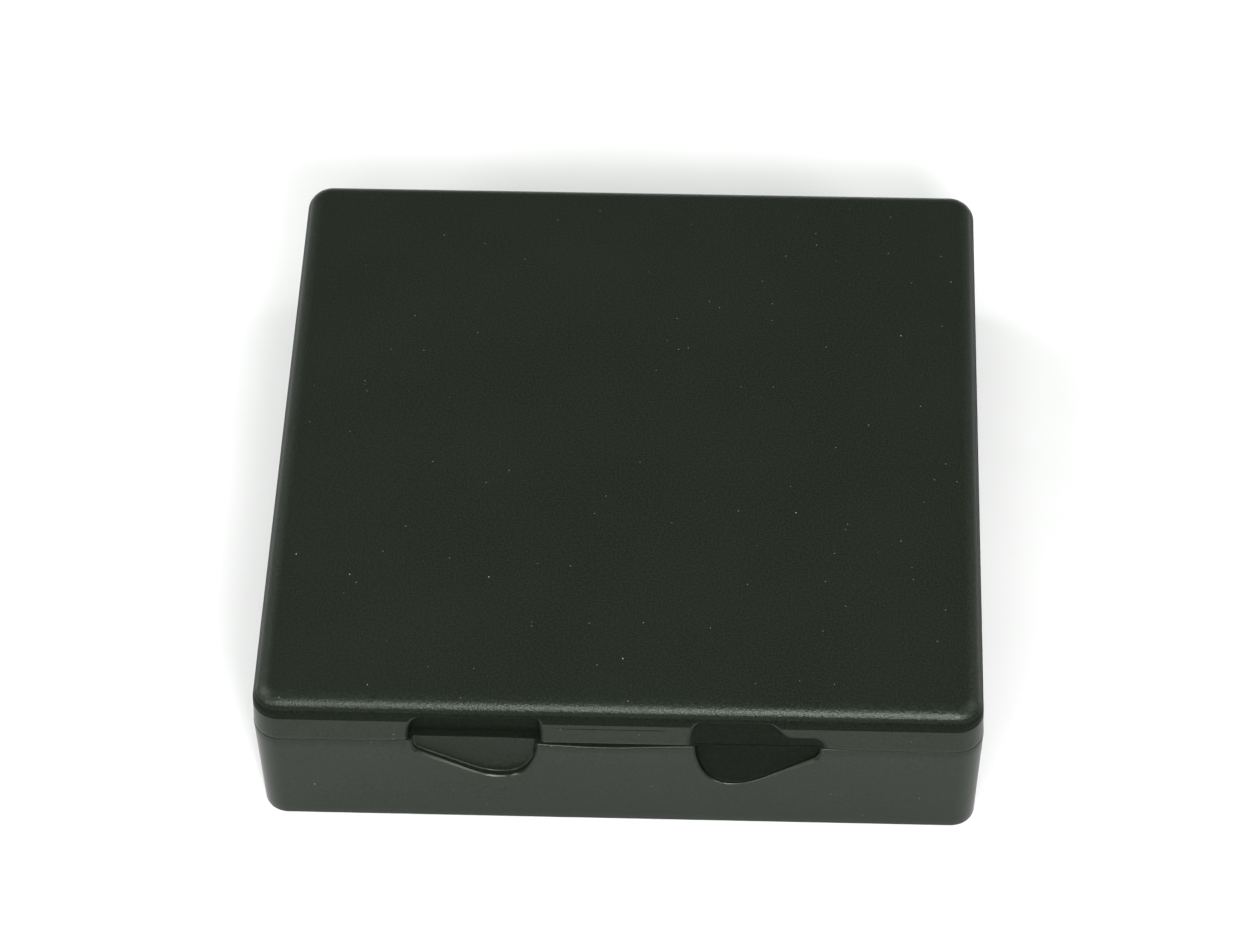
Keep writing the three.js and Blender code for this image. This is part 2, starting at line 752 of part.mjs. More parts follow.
cell.x.forEach((x, i) => {
  addPiece(`battery_cell_${i + 1}`, batteryCell(x, i === 0 ? 1 : -1), "cellJacket");
  addPiece(`battery_contact_front_${i + 1}`, frontContact(x), "nickel");
});
addPiece("battery_contact_back", backContact(), "nickel");
addPiece("battery_spring_1", contactSpring(cell.x[0], bay.front + 0.5, 1), "nickel");
addPiece("battery_spring_2", contactSpring(cell.x[1], bay.back - 0.5, -1), "nickel");
addPiece("battery_door", batteryDoor(), "caseBlack");

addPiece("coil_lead_1", coilLead(-20, -13), "leadRed");
addPiece("coil_lead_2", coilLead(-8, -4), "leadBlack");
addPiece("battery_lead_1", batteryLead(cell.x[0], 20.5), "leadBlack");
addPiece("battery_lead_2", batteryLead(cell.x[1], 24), "leadRed");

export default demagnetizer;
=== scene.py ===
"""Looks of the battery demagnetizer in its hinged case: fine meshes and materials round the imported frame."""

import json
import math

import bmesh
import bpy
from mathutils import Matrix, Vector


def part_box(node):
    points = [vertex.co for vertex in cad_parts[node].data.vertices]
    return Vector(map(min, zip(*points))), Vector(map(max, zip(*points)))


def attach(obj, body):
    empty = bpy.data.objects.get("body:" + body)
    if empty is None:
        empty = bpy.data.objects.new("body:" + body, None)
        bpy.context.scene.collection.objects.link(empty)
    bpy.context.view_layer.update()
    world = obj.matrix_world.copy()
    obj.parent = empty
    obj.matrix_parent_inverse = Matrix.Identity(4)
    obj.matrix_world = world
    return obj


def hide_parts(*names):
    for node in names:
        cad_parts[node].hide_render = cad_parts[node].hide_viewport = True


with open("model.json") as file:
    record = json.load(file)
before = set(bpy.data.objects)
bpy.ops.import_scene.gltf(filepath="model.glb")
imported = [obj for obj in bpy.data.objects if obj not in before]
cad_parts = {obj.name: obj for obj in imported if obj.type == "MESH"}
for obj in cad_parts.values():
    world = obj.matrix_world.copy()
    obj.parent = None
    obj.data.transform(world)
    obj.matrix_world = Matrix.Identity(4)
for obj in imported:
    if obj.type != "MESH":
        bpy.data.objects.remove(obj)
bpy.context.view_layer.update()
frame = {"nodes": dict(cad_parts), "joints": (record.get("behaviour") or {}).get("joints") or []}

MM = 0.001


def box_mm(node):
    """Lowest and highest corner of a CAD node, in millimetres."""
    low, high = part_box(node)
    return low / MM, high / MM


# Places taken from the frame, in millimetres

lid_low, lid_high = box_mm("lid_shell")
foam_low, foam_high = box_mm("lid_foam_pad")
deck_low, deck_high = box_mm("deck_plate")
door_low, door_high = box_mm("battery_door")
pad_low, pad_high = box_mm("well_pad")
bobbin_low, bobbin_high = box_mm("coil_bobbin")
winding_low, winding_high = box_mm("coil_winding")
button_low, button_high = box_mm("push_button")
lamp_low, lamp_high = box_mm("indicator_lamp")

hinge_place = next(joint for joint in frame["joints"] if joint["name"] == "lid_hinge")["pos_m"]

HALF_X = lid_high.x
HALF_Y = -lid_low.y
TOP = lid_high.z
SEAM = hinge_place[2] / MM
HINGE_Y = hinge_place[1] / MM
DRAFT = math.tan(math.radians(2))
CORNER = 4.1
BEAD = 2.8
WALL = 2.0
CEILING = TOP - WALL


# Mesh helpers


def new_object(name, data):
    piece = bpy.data.objects.new(name, data)
    bpy.context.scene.collection.objects.link(piece)
    return piece


def mesh_from(name, points, faces):
    """An object from points in millimetres."""
    mesh = bpy.data.meshes.new(name)
    mesh.from_pydata([tuple(c * MM for c in point) for point in points], [], faces)
    mesh.validate()
    mesh.update()
    return new_object(name, mesh)


def fix_normals(piece):
    work = bmesh.new()
    work.from_mesh(piece.data)
    bmesh.ops.recalc_face_normals(work, faces=work.faces)
    work.to_mesh(piece.data)
    work.free()
    return piece


def smooth(piece, angle):
    """Smooth shading, with edges sharper than the angle left crisp."""
    mesh = piece.data
    mesh.polygons.foreach_set("use_smooth", [True] * len(mesh.polygons))
    mesh.set_sharp_from_angle(angle=math.radians(angle))
    return piece


def boolean(piece, tool, operation):
    """Joins or cuts a piece with a tool, and removes the tool."""
    step = piece.modifiers.new("boolean", "BOOLEAN")
    step.operation = operation
    step.object = tool
    step.solver = "EXACT"
    bpy.context.view_layer.update()
    evaluated = piece.evaluated_get(bpy.context.evaluated_depsgraph_get())
    mesh = bpy.data.meshes.new_from_object(evaluated)
    piece.modifiers.clear()
    piece.data = mesh
    bpy.data.objects.remove(tool)


def cut(piece, tool):
    boolean(piece, tool, "DIFFERENCE")


def join(piece, tool):
    boolean(piece, tool, "UNION")


def ring_faces(rings, count, start=0):
    """Quads between successive rings of the same number of points."""
    faces = []
    for level in range(rings - 1):
        for i in range(count):
            low = start + level * count + i
            low_next = start + level * count + (i + 1) % count
            faces.append((low, low_next, low_next + count, low + count))
    return faces


def end_caps(rings, count):
    """The two flat faces that close a stack of rings of the same number of points."""
    last = (rings - 1) * count
    return [tuple(reversed(range(count))), tuple(range(last, last + count))]


def circle(sides):
    """Cosine and sine of even turns round a circle."""
    angles = [2 * math.pi * i / sides for i in range(sides)]
    return [(math.cos(angle), math.sin(angle)) for angle in angles]


def lathe(name, x, y, profile, sides=96):
    """A turned piece about the vertical through (x, y). The profile lists (radius, height), and either starts
    and ends on the axis or goes round a ring's section."""
    inner = [p for p in profile if p[0] > 0]
    points = [(x + r * cos, y + r * sin, height) for r, height in inner for cos, sin in circle(sides)]
    faces = ring_faces(len(inner), sides)
    if profile[0][0] == 0:
        faces += end_caps(len(inner), sides)
    else:
        last = (len(inner) - 1) * sides
        faces += [(last + i, last + (i + 1) % sides, (i + 1) % sides, i) for i in range(sides)]
    return fix_normals(mesh_from(name, points, faces))


def joined(name, *pieces):
    """One object holding the meshes of several."""
    work = bmesh.new()
    for piece in pieces:
        work.from_mesh(piece.data)
        bpy.data.objects.remove(piece)
    mesh = bpy.data.meshes.new(name)
    work.to_mesh(mesh)
    work.free()
    return new_object(name, mesh)


def quarter_round(radius, steps):
    """Steps round a rounded edge, as (how far inwards, how far up), from (0, 0) to (radius, radius)."""
    turns = [math.radians(90 * i / steps) for i in range(steps + 1)]
    return [(radius * (1 - math.cos(turn)), radius * math.sin(turn)) for turn in turns]


def rectangle_ring(half_x, y0, y1, corner, z, inset=0.0, steps=10):
    """Points round a rectangle with round corners, counter-clockwise from above."""
    middle = (y0 + y1) / 2
    half_y = (y1 - y0) / 2
    ring = []
    for quarter, (side_x, side_y) in enumerate(((1, 1), (-1, 1), (-1, -1), (1, -1))):
        for i in range(steps + 1):
            angle = math.radians(90 * (quarter + i / steps))
            x = side_x * (half_x - corner) + (corner - inset) * math.cos(angle)
            y = side_y * (half_y - corner) + (corner - inset) * math.sin(angle)
            ring.append((x, middle + y, z))
    return ring


def slab(name, half_x, y0, y1, corner, z0, z1, edge):
    """A plate with round corners and rounded edges."""
    lower, upper = [], []
    for inset, up in quarter_round(edge, 3):
        lower.append(rectangle_ring(half_x, y0, y1, corner, z0 + edge - up, inset))
        upper.append(rectangle_ring(half_x, y0, y1, corner, z1 - edge + up, inset))
    rings = lower[::-1] + upper
    faces = ring_faces(len(rings), len(rings[0])) + end_caps(len(rings), len(rings[0]))
    return fix_normals(mesh_from(name, [p for ring in rings for p in ring], faces))


def arc(centre, radius, start, end, steps):
    """Points (radius, height) on an arc in degrees, both ends included."""
    turns = [math.radians(start + (end - start) * i / steps) for i in range(steps + 1)]
    return [(centre[0] + radius * math.cos(turn), centre[1] + radius * math.sin(turn)) for turn in turns]


def bar_along_x(name, x0, x1, y, z, radius, sides=64, edge=0.0):
    """A round bar lying along X, with its ends' edges rounded by edge."""
    sections = [(x0, radius - edge), (x0 + edge, radius), (x1 - edge, radius), (x1, radius - edge)]
    if edge == 0:
        sections = [(x0, radius), (x1, radius)]
    points = [(x, y + r * cos, z + r * sin) for x, r in sections for cos, sin in circle(sides)]
    faces = ring_faces(len(sections), sides) + end_caps(len(sections), sides)
    return mesh_from(name, points, faces)


def block(name, low, high):
    """A box between two corners, used as a cutter or joined into a moulding."""
    (x0, y0, z0), (x1, y1, z1) = low, high
    points = [(x, y, z) for z in (z0, z1) for x, y in ((x0, y0), (x1, y0), (x1, y1), (x0, y1))]
    faces = [(3, 2, 1, 0), (4, 5, 6, 7), (0, 1, 5, 4), (1, 2, 6, 5), (2, 3, 7, 6), (3, 0, 4, 7)]
    return mesh_from(name, points, faces)


# Plan of the case


def plan_stations(front_step=0.85, dense_to=37.4, corner_steps=16, side_steps=24):
    """Stations round the case, counter-clockwise from above: a point of the inner rectangle and the outward
    direction there. They are close together along the front, where the grips are cut."""
    across = HALF_X - CORNER
    along = HALF_Y - CORNER
    stations = []

    def straight(start, end, direction, fractions):
        for f in fractions:
            x = start[0] + (end[0] - start[0]) * f
            y = start[1] + (end[1] - start[1]) * f
            stations.append((x, y, *direction))

    def corner(x, y, first):
        for i in range(corner_steps + 1):
            angle = math.radians(first + 90 * i / corner_steps)
            stations.append((x, y, math.cos(angle), math.sin(angle)))

    even = [i / side_steps for i in range(1, side_steps)]
    steps = int(2 * dense_to / front_step)
    front = [-dense_to + 2 * dense_to * i / steps for i in range(steps + 1)]
    end_steps = 5
    ends = [across - (across - dense_to) * i / end_steps for i in range(1, end_steps)]
    front = [-x for x in ends] + front + list(reversed(ends))
    corner(-across, -along, 180)
    straight((-across, -along), (across, -along), (0, -1), [(x + across) / (2 * across) for x in front])
    corner(across, -along, 270)
    straight((across, -along), (across, along), (1, 0), even)
    corner(across, along, 0)
    straight((across, along), (-across, along), (0, 1), even)
    corner(-across, along, 90)
    straight((-across, along), (-across, -along), (-1, 0), even)
    return stations


STATIONS = plan_stations()


def plan_ring(inset, z, scale=1.0, shift=None):
    """The case's outline at height z, drawn in by inset. Scale shrinks it towards the middle, and shift gives
    how far a point of the front moves back and up."""
    ring = []
    for cx, cy, nx, ny in STATIONS:
        reach = (CORNER - inset) * scale
        x = cx * scale + nx * reach
        y = cy * scale + ny * reach
        back, up = 0.0, 0.0
        faces_front = ny < -0.999
        if shift is not None and faces_front:
            back, up = shift(x, z)
        ring.append((x, y + back, z + up))
    return ring


def moulding(name, outer, inner):
    """A hollow shell: outer rings from the open edge to the closed middle, then inner rings the same way."""
    count = len(STATIONS)
    points = [p for ring in outer + inner for p in ring]
    faces = ring_faces(len(outer), count)
    start = len(outer) * count
    faces += [tuple(reversed(f)) for f in ring_faces(len(inner), count, start)]
    faces += [(i, start + i, start + (i + 1) % count, (i + 1) % count) for i in range(count)]
    last = (len(outer) - 1) * count
    faces.append(tuple(range(last, last + count)))
    last = start + (len(inner) - 1) * count
    faces.append(tuple(reversed(range(last, last + count))))
    return mesh_from(name, points, faces)


# Front and finger grips


def step_between(value, low, high):
    """0 under low, 1 over high, smooth between."""
    t = min(max((value - low) / (high - low), 0.0), 1.0)
    return t * t * (3 - 2 * t)


GRAIN_BOTTOM = TOP - 3.4
GRIPS_END = 29.0
GRIP_MIDDLE = 20.3


def between_grips(x):
    """1 between the outer ends of the two grips, 0 beyond them."""
    return 1 - step_between(abs(x), GRIPS_END, GRIPS_END + 5)


def behind_grip(x, side):
    """1 behind a grip, 0 away from it."""
    return 1 - step_between(abs(x - side * GRIP_MIDDLE), 10.5, 12)


def lid_lift(x, z):
    """How far the lid's lower edge stands up between the grips' outer ends. It fades out above the edge."""
    return 0.26 * between_grips(x) * (1 - step_between(z - SEAM, 0, 3))


def base_dip(x, z):
    """How far the base's upper edge sinks, most in the middle of the front. It fades out under the edge."""
    middle = 0.68 * math.exp(-(((x + 2) / 8.5) ** 2))
    return (middle - 0.14 * between_grips(x)) * (1 - step_between(SEAM - z, 0, 4))


def lid_front(x, z):
    return 0.0, lid_lift(x, z)


def lid_back_of_front(x, z):
    """The inside of the front wall is thicker behind the grips."""
    return 1.6 * behind_grip(x, -1) + 0.8 * behind_grip(x, 1), lid_lift(x, z)


def wing_outline(side, inner, outer, lobe, drop, end_drop, top=1.5, steps=18):
    """The wing outline seen from the front as (x, height over the seam), from its inner top round to its
    outer top. It hangs lowest at the lobe, by drop, and its outer end hangs by end_drop."""

    def bezier(a, b, c, d):
        points = []
        for i in range(1, steps + 1):
            t = i / steps
            w = ((1 - t) ** 3, 3 * t * (1 - t) ** 2, 3 * t * t * (1 - t), t**3)
            points.append(tuple(sum(k * p[axis] for k, p in zip(w, (a, b, c, d))) for axis in (0, 1)))
        return points

    def low(share):
        return -share * drop

    def end(share):
        return -share * end_drop

    points = [(inner, top), (inner, 0.35 * top)]
    points += bezier((inner, 0), (inner, low(0.62)), (inner + 1.9, low(1)), (lobe, low(1)))
    points += bezier((lobe, low(1)), (lobe + 2, low(1)), (lobe + 3, low(0.93)), (lobe + 4.4, low(0.85)))
    points += bezier((outer - 1.0, end(1)), (outer - 0.3, end(0.8)), (outer, end(0.6)), (outer, end(0.15)))
    points += [(outer, 0.35 * top), (outer, top)]
    return [(side * x, z) for x, z in points]


def scoop_outline(side, inner, outer, height, inner_round, outer_round, shoulder_x, shoulder, steps=10):
    """The outline of a lid scoop as (x, height over the seam): up its inner side, along its top, which drops
    to a shoulder beyond shoulder_x, and down its outer side. inner_round and outer_round are the width and
    height of its upper corners, which are quarter ellipses."""
    below = 1.2
    step_width = 3.4
    quarter = [math.radians(90 * i / steps) for i in range(steps + 1)]
    wide, tall = inner_round
    points = [(inner, -below)]
    for turn in quarter:
        points.append((inner + wide * (1 - math.cos(turn)), height - tall * (1 - math.sin(turn))))
    for i in range(steps + 1):
        x = shoulder_x + step_width * (i / steps - 0.5)
        points.append((x, height + (shoulder - height) * step_between(i / steps, 0, 1)))
    wide, tall = outer_round
    for turn in quarter:
        points.append((outer - wide * (1 - math.sin(turn)), shoulder - tall * (1 - math.cos(turn))))
    points.append((outer, -below))
    return [(side * x, z) for x, z in points]


def grow(outline, amount, open_end):
    """The outline moved outwards by amount. Its two ends only move sideways. open_end is the height of its
    open side."""
    middle = sum(p[0] for p in outline) / len(outline)
    grown = []
    for i, p in enumerate(outline):
        before = Vector(outline[max(i - 1, 0)])
        after = Vector(outline[min(i + 1, len(outline) - 1)])
        along = after - before
        normal = Vector((-along.y, along.x)).normalized()
        if normal.dot(Vector(p) - Vector((middle, open_end))) < 0:
            normal = -normal
        if i in (0, len(outline) - 1):
            normal = Vector((math.copysign(1, p[0] - middle), 0))
        grown.append((p[0] + normal.x * amount, p[1] + normal.y * amount))
    return grown


def grip_cutter(outline, sections, open_end):
    """A cutter through copies of the outline. Each section is the amount grown, the depth as a function of
    the distance out and the height over the seam, and the finish of the band that follows it."""
    points = []
    for amount, depth, _ in sections:
        for x, above in grow(outline, amount, open_end):
            points.append((x, -HALF_Y + depth(abs(x), above), SEAM + above))
    count = len(outline)
    sides = ring_faces(len(sections), count)
    cutter = mesh_from("cutter", points, sides + end_caps(len(sections), count))
    assign(cutter, *BASE_FINISHES)
    for face in cutter.data.polygons[: len(sides)]:
        face.material_index = sections[face.index // count][2]
    cutter.data.polygons[-1].material_index = sections[-1][2]
    return fix_normals(cutter)


def flat(depth):
    return lambda out, above: depth


def leaning(depth, lean, drift=0.0):
    """A depth that grows by lean with height and by drift with the distance out."""
    return lambda out, above: depth + lean * above + drift * out


# Hinge


def centre_of(node):
    low, high = box_mm(node)
    return (low.x + high.x) / 2, (low.y + high.y) / 2


DECK_SCREWS = [centre_of(f"deck_screw_{number}") for number in (1, 2, 3, 4)]
BOARD_SCREWS = [centre_of(f"board_screw_{number}") for number in (1, 2)]


def knuckle_spans(centre, which):
    """The lid has the middle knuckle of each hinge and the base the two outer ones."""
    length = 7.0
    pitch = 7.4
    places = (-1, 1) if which == "base" else (0,)
    return [(centre + p * pitch - length / 2, centre + p * pitch + length / 2) for p in places]


HINGE_CENTRES = (-30.0, 30.0)


def add_knuckles(shell, own, other):
    """Cuts room for the other shell's knuckles, joins this shell's own, and bores them for the pin."""
    radius, room_radius, bore_radius = 2.2, 2.6, 0.98
    gap = 0.35
    bore_reach = 11.4
    for centre in HINGE_CENTRES:
        for x0, x1 in knuckle_spans(centre, other):
            room = bar_along_x("room", x0 - gap, x1 + gap, HINGE_Y, SEAM, room_radius)
            cut(shell, room)
        for x0, x1 in knuckle_spans(centre, own):
            join(shell, bar_along_x("knuckle", x0, x1, HINGE_Y, SEAM, radius, edge=0.3))
        x0, x1 = centre - bore_reach, centre + bore_reach
        bore = bar_along_x("bore", x0, x1, HINGE_Y, SEAM, bore_radius, sides=32)
        cut(shell, bore)


# Shells


LID_SET_IN = 0.05
LID_BOTTOM = SEAM - 0.12
BASE_TOP = LID_BOTTOM - 0.02
LID_EDGE = 0.03
BASE_EDGE = 0.05
GRIP_LID_EDGE = 0.28
GRIP_BASE_EDGE = 0.32


def lid_inset(z):
    return LID_SET_IN + DRAFT * (z - SEAM)


def edge_rings(start_inset, z, small, large, outwards, front):
    """Rings over a rounded edge whose radius grows from small to large between the grips. Outwards is 1 if
    the edge turns up as it goes out, and -1 if it turns down."""
    rings = []
    for angle in (0, 22.5, 45, 67.5, 90):
        turn = math.radians(angle)
        inwards = 1 - math.sin(turn)
        sideways = 1 - math.cos(turn)

        def shift(x, height, inwards=inwards, sideways=sideways):
            back, up = front(x, height)
            extra = (large - small) * between_grips(x)
            return back + extra * inwards, up + outwards * extra * sideways

        inset = start_inset + small * inwards
        rings.append(plan_ring(inset, z + outwards * small * sideways, shift=shift))
    return rings


def lid_outside():
    """The lid's outer rings, from its lower edge to the middle of its top, and how many bands of faces
    between them lie below the bead."""
    straight = TOP - BEAD
    lowest = LID_BOTTOM + GRIP_LID_EDGE
    rings = edge_rings(LID_SET_IN, LID_BOTTOM, LID_EDGE, GRIP_LID_EDGE, 1, lid_front)
    levels = 8
    for i in range(1, levels + 1):
        z = lowest + (GRAIN_BOTTOM - lowest) * i / levels
        rings.append(plan_ring(lid_inset(z), z, shift=lid_front))
    smooth_bands = len(rings) - 1
    rings.append(plan_ring(lid_inset(straight), straight))
    inset = lid_inset(straight)
    rings += [plan_ring(inset + inwards, straight + up) for inwards, up in quarter_round(BEAD, 20)[1:]]
    rings += [plan_ring(inset + BEAD, TOP, scale) for scale in (0.985, 0.95, 0.85, 0.6, 0.3, 0.02)]
    return rings, smooth_bands


def lid_inside():
    """The lid's inner rings, from its lower edge to the middle of its ceiling."""
    fillet = 1.0
    wall_top = CEILING - fillet
    wall_inset = WALL + 0.2
    wall_levels = 6
    rings = []
    for i in range(wall_levels + 1):
        z = LID_BOTTOM + (wall_top - LID_BOTTOM) * i / wall_levels
        rings.append(plan_ring(WALL + DRAFT * (z - SEAM), z, shift=lid_back_of_front))
    for inwards, up in quarter_round(fillet, 4)[1:]:
        rings.append(plan_ring(wall_inset + inwards, wall_top + up, shift=lid_back_of_front))
    return rings + [plan_ring(wall_inset + fillet, CEILING, scale) for scale in (0.93, 0.6, 0.02)]


def build_lid():
    outer, smooth_bands = lid_outside()
    lid = moulding("lid_case", outer, lid_inside())
    assign(lid, *LID_FINISHES)
    # The lower bead takes darker, duller copies of the grain: painted shade under the highlight.
    bands = [PLAIN] * smooth_bands + [BEAD_SHADE] * 6 + [BEAD_HALF_SHADE] * 3
    bands += [GRAINED] * (len(outer) - 1 - len(bands))
    for face in lid.data.polygons:
        band = face.index // len(STATIONS)
        face.material_index = bands[band] if band < len(bands) else PLAIN
    fix_normals(lid)
    cut_scoops(lid)
    add_catch_line(lid)
    add_knuckles(lid, "lid", "base")
    return lid


def wall_plus(depth, lean=0.0, share=1.0):
    """A depth behind the lid's drafted front wall, growing with height by lean."""
    return lambda out, above: LID_SET_IN + DRAFT * above + share * (depth + lean * above)


def cut_scoops(lid):
    """The lid's scoops over the two pockets. The left one is deep all over, and the right one slants in from
    its lower edge. Both start as shallow slopes, which fade the shadow in. Their finishes go from a duller
    copy of the case's finish to the dark grip finish: painted shade growing into the hollow."""
    outside = flat(-0.6)
    left = scoop_outline(-1, 10.95, 29.5, 4.9, (0.5, 3.4), (2.0, 3.8), 20.0, 4.9)
    sections = [(0.75, outside, PLAIN), (0.66, wall_plus(0.0), SHADE_FADED)]
    slope = ((0.42, 0.04), (0.2, 0.18), (0.06, 0.45), (0.0, 0.8), (-0.08, 1.8), (-0.3, 2.05))
    # The scoop's slope takes the dark grip finish: grip texture, and painted shade in the hollow.
    sections += [(amount, wall_plus(depth), BLASTED_AND_SHADED) for amount, depth in slope]
    cut(lid, grip_cutter(left, sections, 0.0))
    right = scoop_outline(1, 10.75, 29.05, 4.7, (1.3, 3.8), (1.3, 1.5), 22.9, 1.9)
    sections = [(0.9, outside, PLAIN), (0.8, wall_plus(0.0), SHADE_FADED), (0.6, right_scoop(0.03), SHADE_FADED)]
    slope = ((0.4, 0.12), (0.2, 0.28), (0.0, 0.5), (-0.2, 0.72), (-0.45, 0.9), (-0.7, 1.0))
    # The scoop's slope takes the dark grip finish: grip texture, and painted shade in the hollow.
    sections += [(amount, right_scoop(share), BLASTED_AND_SHADED) for amount, share in slope]
    cut(lid, grip_cutter(right, sections, 0.0))
    add_edge_groove(lid, 10.9, 29.1)


def right_scoop(share):
    """A share of the right scoop's depth, which grows with height."""
    return wall_plus(0.12, 0.22, share)


def add_edge_groove(lid, near, far):
    """The dark line along the lid's lower edge over the right pocket."""
    low, height, depth = SEAM + 0.3, 0.22, 0.75
    groove = block("groove", (near, -HALF_Y - 1, low), (far, -HALF_Y + depth, low + height))
    cut(lid, groove)


def add_catch_line(lid):
    """The fine line over the snap catch in the middle of the lid's front."""
    width, depth = 0.12, 0.09
    low = SEAM + 3.2
    front = -HALF_Y + lid_inset(SEAM + 3.3)
    line = block("line", (-8.6, front - 1, low), (6.9, front + depth, low + width))
    cut(lid, line)


def base_front(x, z):
    return 0.0, -base_dip(x, z)


def base_back_of_front(x, z):
    """The inside of the front wall is thicker behind the grips."""
    thicker = 1.1 * behind_grip(x, -1) + 1.9 * behind_grip(x, 1)
    return thicker * step_between(z, 5, 7), -base_dip(x, z)


def base_inset(z):
    return DRAFT * (SEAM - z)


def base_outside():
    """The base's outer rings, from its upper edge to the middle of the underside."""
    foot = 0.45
    lowest = BASE_TOP - GRIP_BASE_EDGE
    rings = edge_rings(0.0, BASE_TOP, BASE_EDGE, GRIP_BASE_EDGE, -1, base_front)
    levels = 12
    for i in range(1, levels + 1):
        z = lowest - (lowest - foot) * i / levels
        rings.append(plan_ring(base_inset(z), z, shift=base_front))
    for inwards, down in quarter_round(foot, 4)[1:]:
        rings.append(plan_ring(base_inset(foot) + inwards, foot - down))
    return rings + [plan_ring(base_inset(0) + foot, 0, scale) for scale in (0.95, 0.5, 0.02)]


def base_inside():
    """The base's inner rings, from its upper edge to the middle of its floor."""
    levels = 7
    rings = []
    for i in range(levels + 1):
        z = BASE_TOP - (BASE_TOP - WALL) * i / levels
        rings.append(plan_ring(WALL + base_inset(z), z, shift=base_back_of_front))
    return rings + [plan_ring(WALL + base_inset(WALL), WALL, scale) for scale in (0.93, 0.5, 0.02)]


def build_base():
    base = moulding("base_case", base_outside(), base_inside())
    assign(base, *BASE_FINISHES)
    fix_normals(base)
    cut_grips(base)
    add_lips(base)
    add_knuckles(base, "base", "lid")
    add_battery_bay(base)
    add_bosses(base)
    paint_shade_behind_gap(base)
    return base


def paint_shade_behind_gap(base):
    """The faces that show through the gap in the middle of the front take the dark grip finish: painted shade
    inside the case, behind the gap.
    """
    for face in base.data.polygons:
        x, y, z = face.center / MM
        near_gap = abs(x) < 12 and z > SEAM - 4
        behind_front = -HALF_Y + 1.0 < y < -HALF_Y + 4
        if near_gap and behind_front and face.normal.z < 0.7:
            face.material_index = BLASTED_AND_SHADED


def cut_grips(base):
    """Both pockets have a bevelled rim. The right one is deep. The left one is shallow, and its face reaches
    the seam as a sharp edge."""
    rounding = ((0.75, -0.6), (0.09, 0.02), (0.03, 0.05), (-0.01, 0.09), (-0.35, 0.45))
    rim = [(amount, flat(depth), PLAIN) for amount, depth in rounding]
    right = wing_outline(1, 10.7, 29.15, 16.2, 8.95, 2.9)
    lean, drift = 0.171, -0.0524
    # The pocket's deep faces take the dark grip finish: grip texture, and painted shade in the hollow.
    deep = [(-0.38, flat(0.5), BLASTED_AND_SHADED)]
    bottom = ((-0.4, 2.55), (-0.46, 2.78), (-0.6, 2.92), (-0.85, 2.976))
    deep += [(amount, leaning(depth, lean, drift), BLASTED_AND_SHADED) for amount, depth in bottom]
    cut(base, grip_cutter(right, rim + deep, 1.0))
    left = wing_outline(-1, 11.1, 29.5, 16.8, 8.3, 3.0)
    face, lean = 1.05, -0.035
    step = [(-0.37, flat(0.48), PLATE)]
    fillet = [(-0.38, 0.28, PLAIN), (-0.41, 0.17, PLAIN), (-0.47, 0.08, PLAIN)]
    fillet += [(-0.56, 0.02, PLATE), (-0.7, 0, PLATE)]
    step += [(amount, leaning(face - short, lean), finish) for amount, short, finish in fillet]
    cut(base, grip_cutter(left, rim + step, 1.0))


def round_post(radius, low, high):
    """The profile of a plain round post, for lathe."""
    return [(0, low), (radius, low), (radius, high), (0, high)]


def add_bosses(base):
    """The pillars for the deck's screws and the board's."""
    root = WALL - 0.5
    pillar = [(0, root), (3.4, root), (3.2, 3), (3.2, 14.9), (0, 14.9)]
    for x, y in DECK_SCREWS:
        join(base, lathe("boss", x, y, pillar, 48))
        cut(base, lathe("hole", x, y, round_post(1.2, 6, 20), 24))
    for x, y in BOARD_SCREWS:
        join(base, lathe("boss", x, y, round_post(2.5, root, 3.5), 48))
        cut(base, lathe("hole", x, y, round_post(0.9, 1, 5), 24))


def add_lips(base):
    """Lips that reach into the lid and hold it true. Each has a thin upper part, clear of the lid's wall, and
    a foot that joins the base's wall."""
    low = 14
    parts = ((0.3, SEAM + 1.3), (-0.3, SEAM - 0.4))
    for side in (-1, 1):
        for gap, top in parts:
            near, far = sorted(side * (HALF_X - WALL - inset) for inset in (1.2, gap))
            join(base, block("lip", (near, -38, low), (far, 40, top)))
    for side, reach in ((-1, 8), (1, 16)):
        for gap, top in parts:
            near, far = sorted(side * (HALF_Y - WALL - inset) for inset in (1.2, gap))
            join(base, block("lip", (-reach, near, low), (reach, far, top)))


def add_battery_bay(base):
    """The bay's walls and roof, its slot in the underside and the way out at the back."""
    left, right = door_low.x + 0.8, door_high.x - 0.8
    front = door_low.y - 0.2
    wall, roof = 2, 1.2
    room_back, room_top = 44.0, 13.2
    beyond, under = HALF_Y + 2, -1
    bay = block("bay", (left - wall, front - 1.4, 1.5), (right + wall, room_back + 1.4, room_top + roof))
    join(base, bay)
    cut(base, block("room", (left, front, under), (right, room_back, room_top)))
    cut(base, block("mouth", (left, room_back - 1, under), (right, beyond, 2.0)))
    cut(base, block("channel", (left - 1, front, 1.0), (right + 1, beyond, 2.0)))
    way_out = block("exit", (left, HALF_Y - 3.5, under), (right, beyond, door_high.z + 0.2))
    cut(base, way_out)


# Materials


def new_material(name):
    material = bpy.data.materials.new(name)
    material.use_nodes = True
    tree = material.node_tree
    return material, tree, next(n for n in tree.nodes if n.type == "BSDF_PRINCIPLED")


def set_inputs(node, **values):
    """Sets inputs by name, with underscores for spaces."""
    for name, value in values.items():
        node.inputs[name.replace("_", " ")].default_value = value


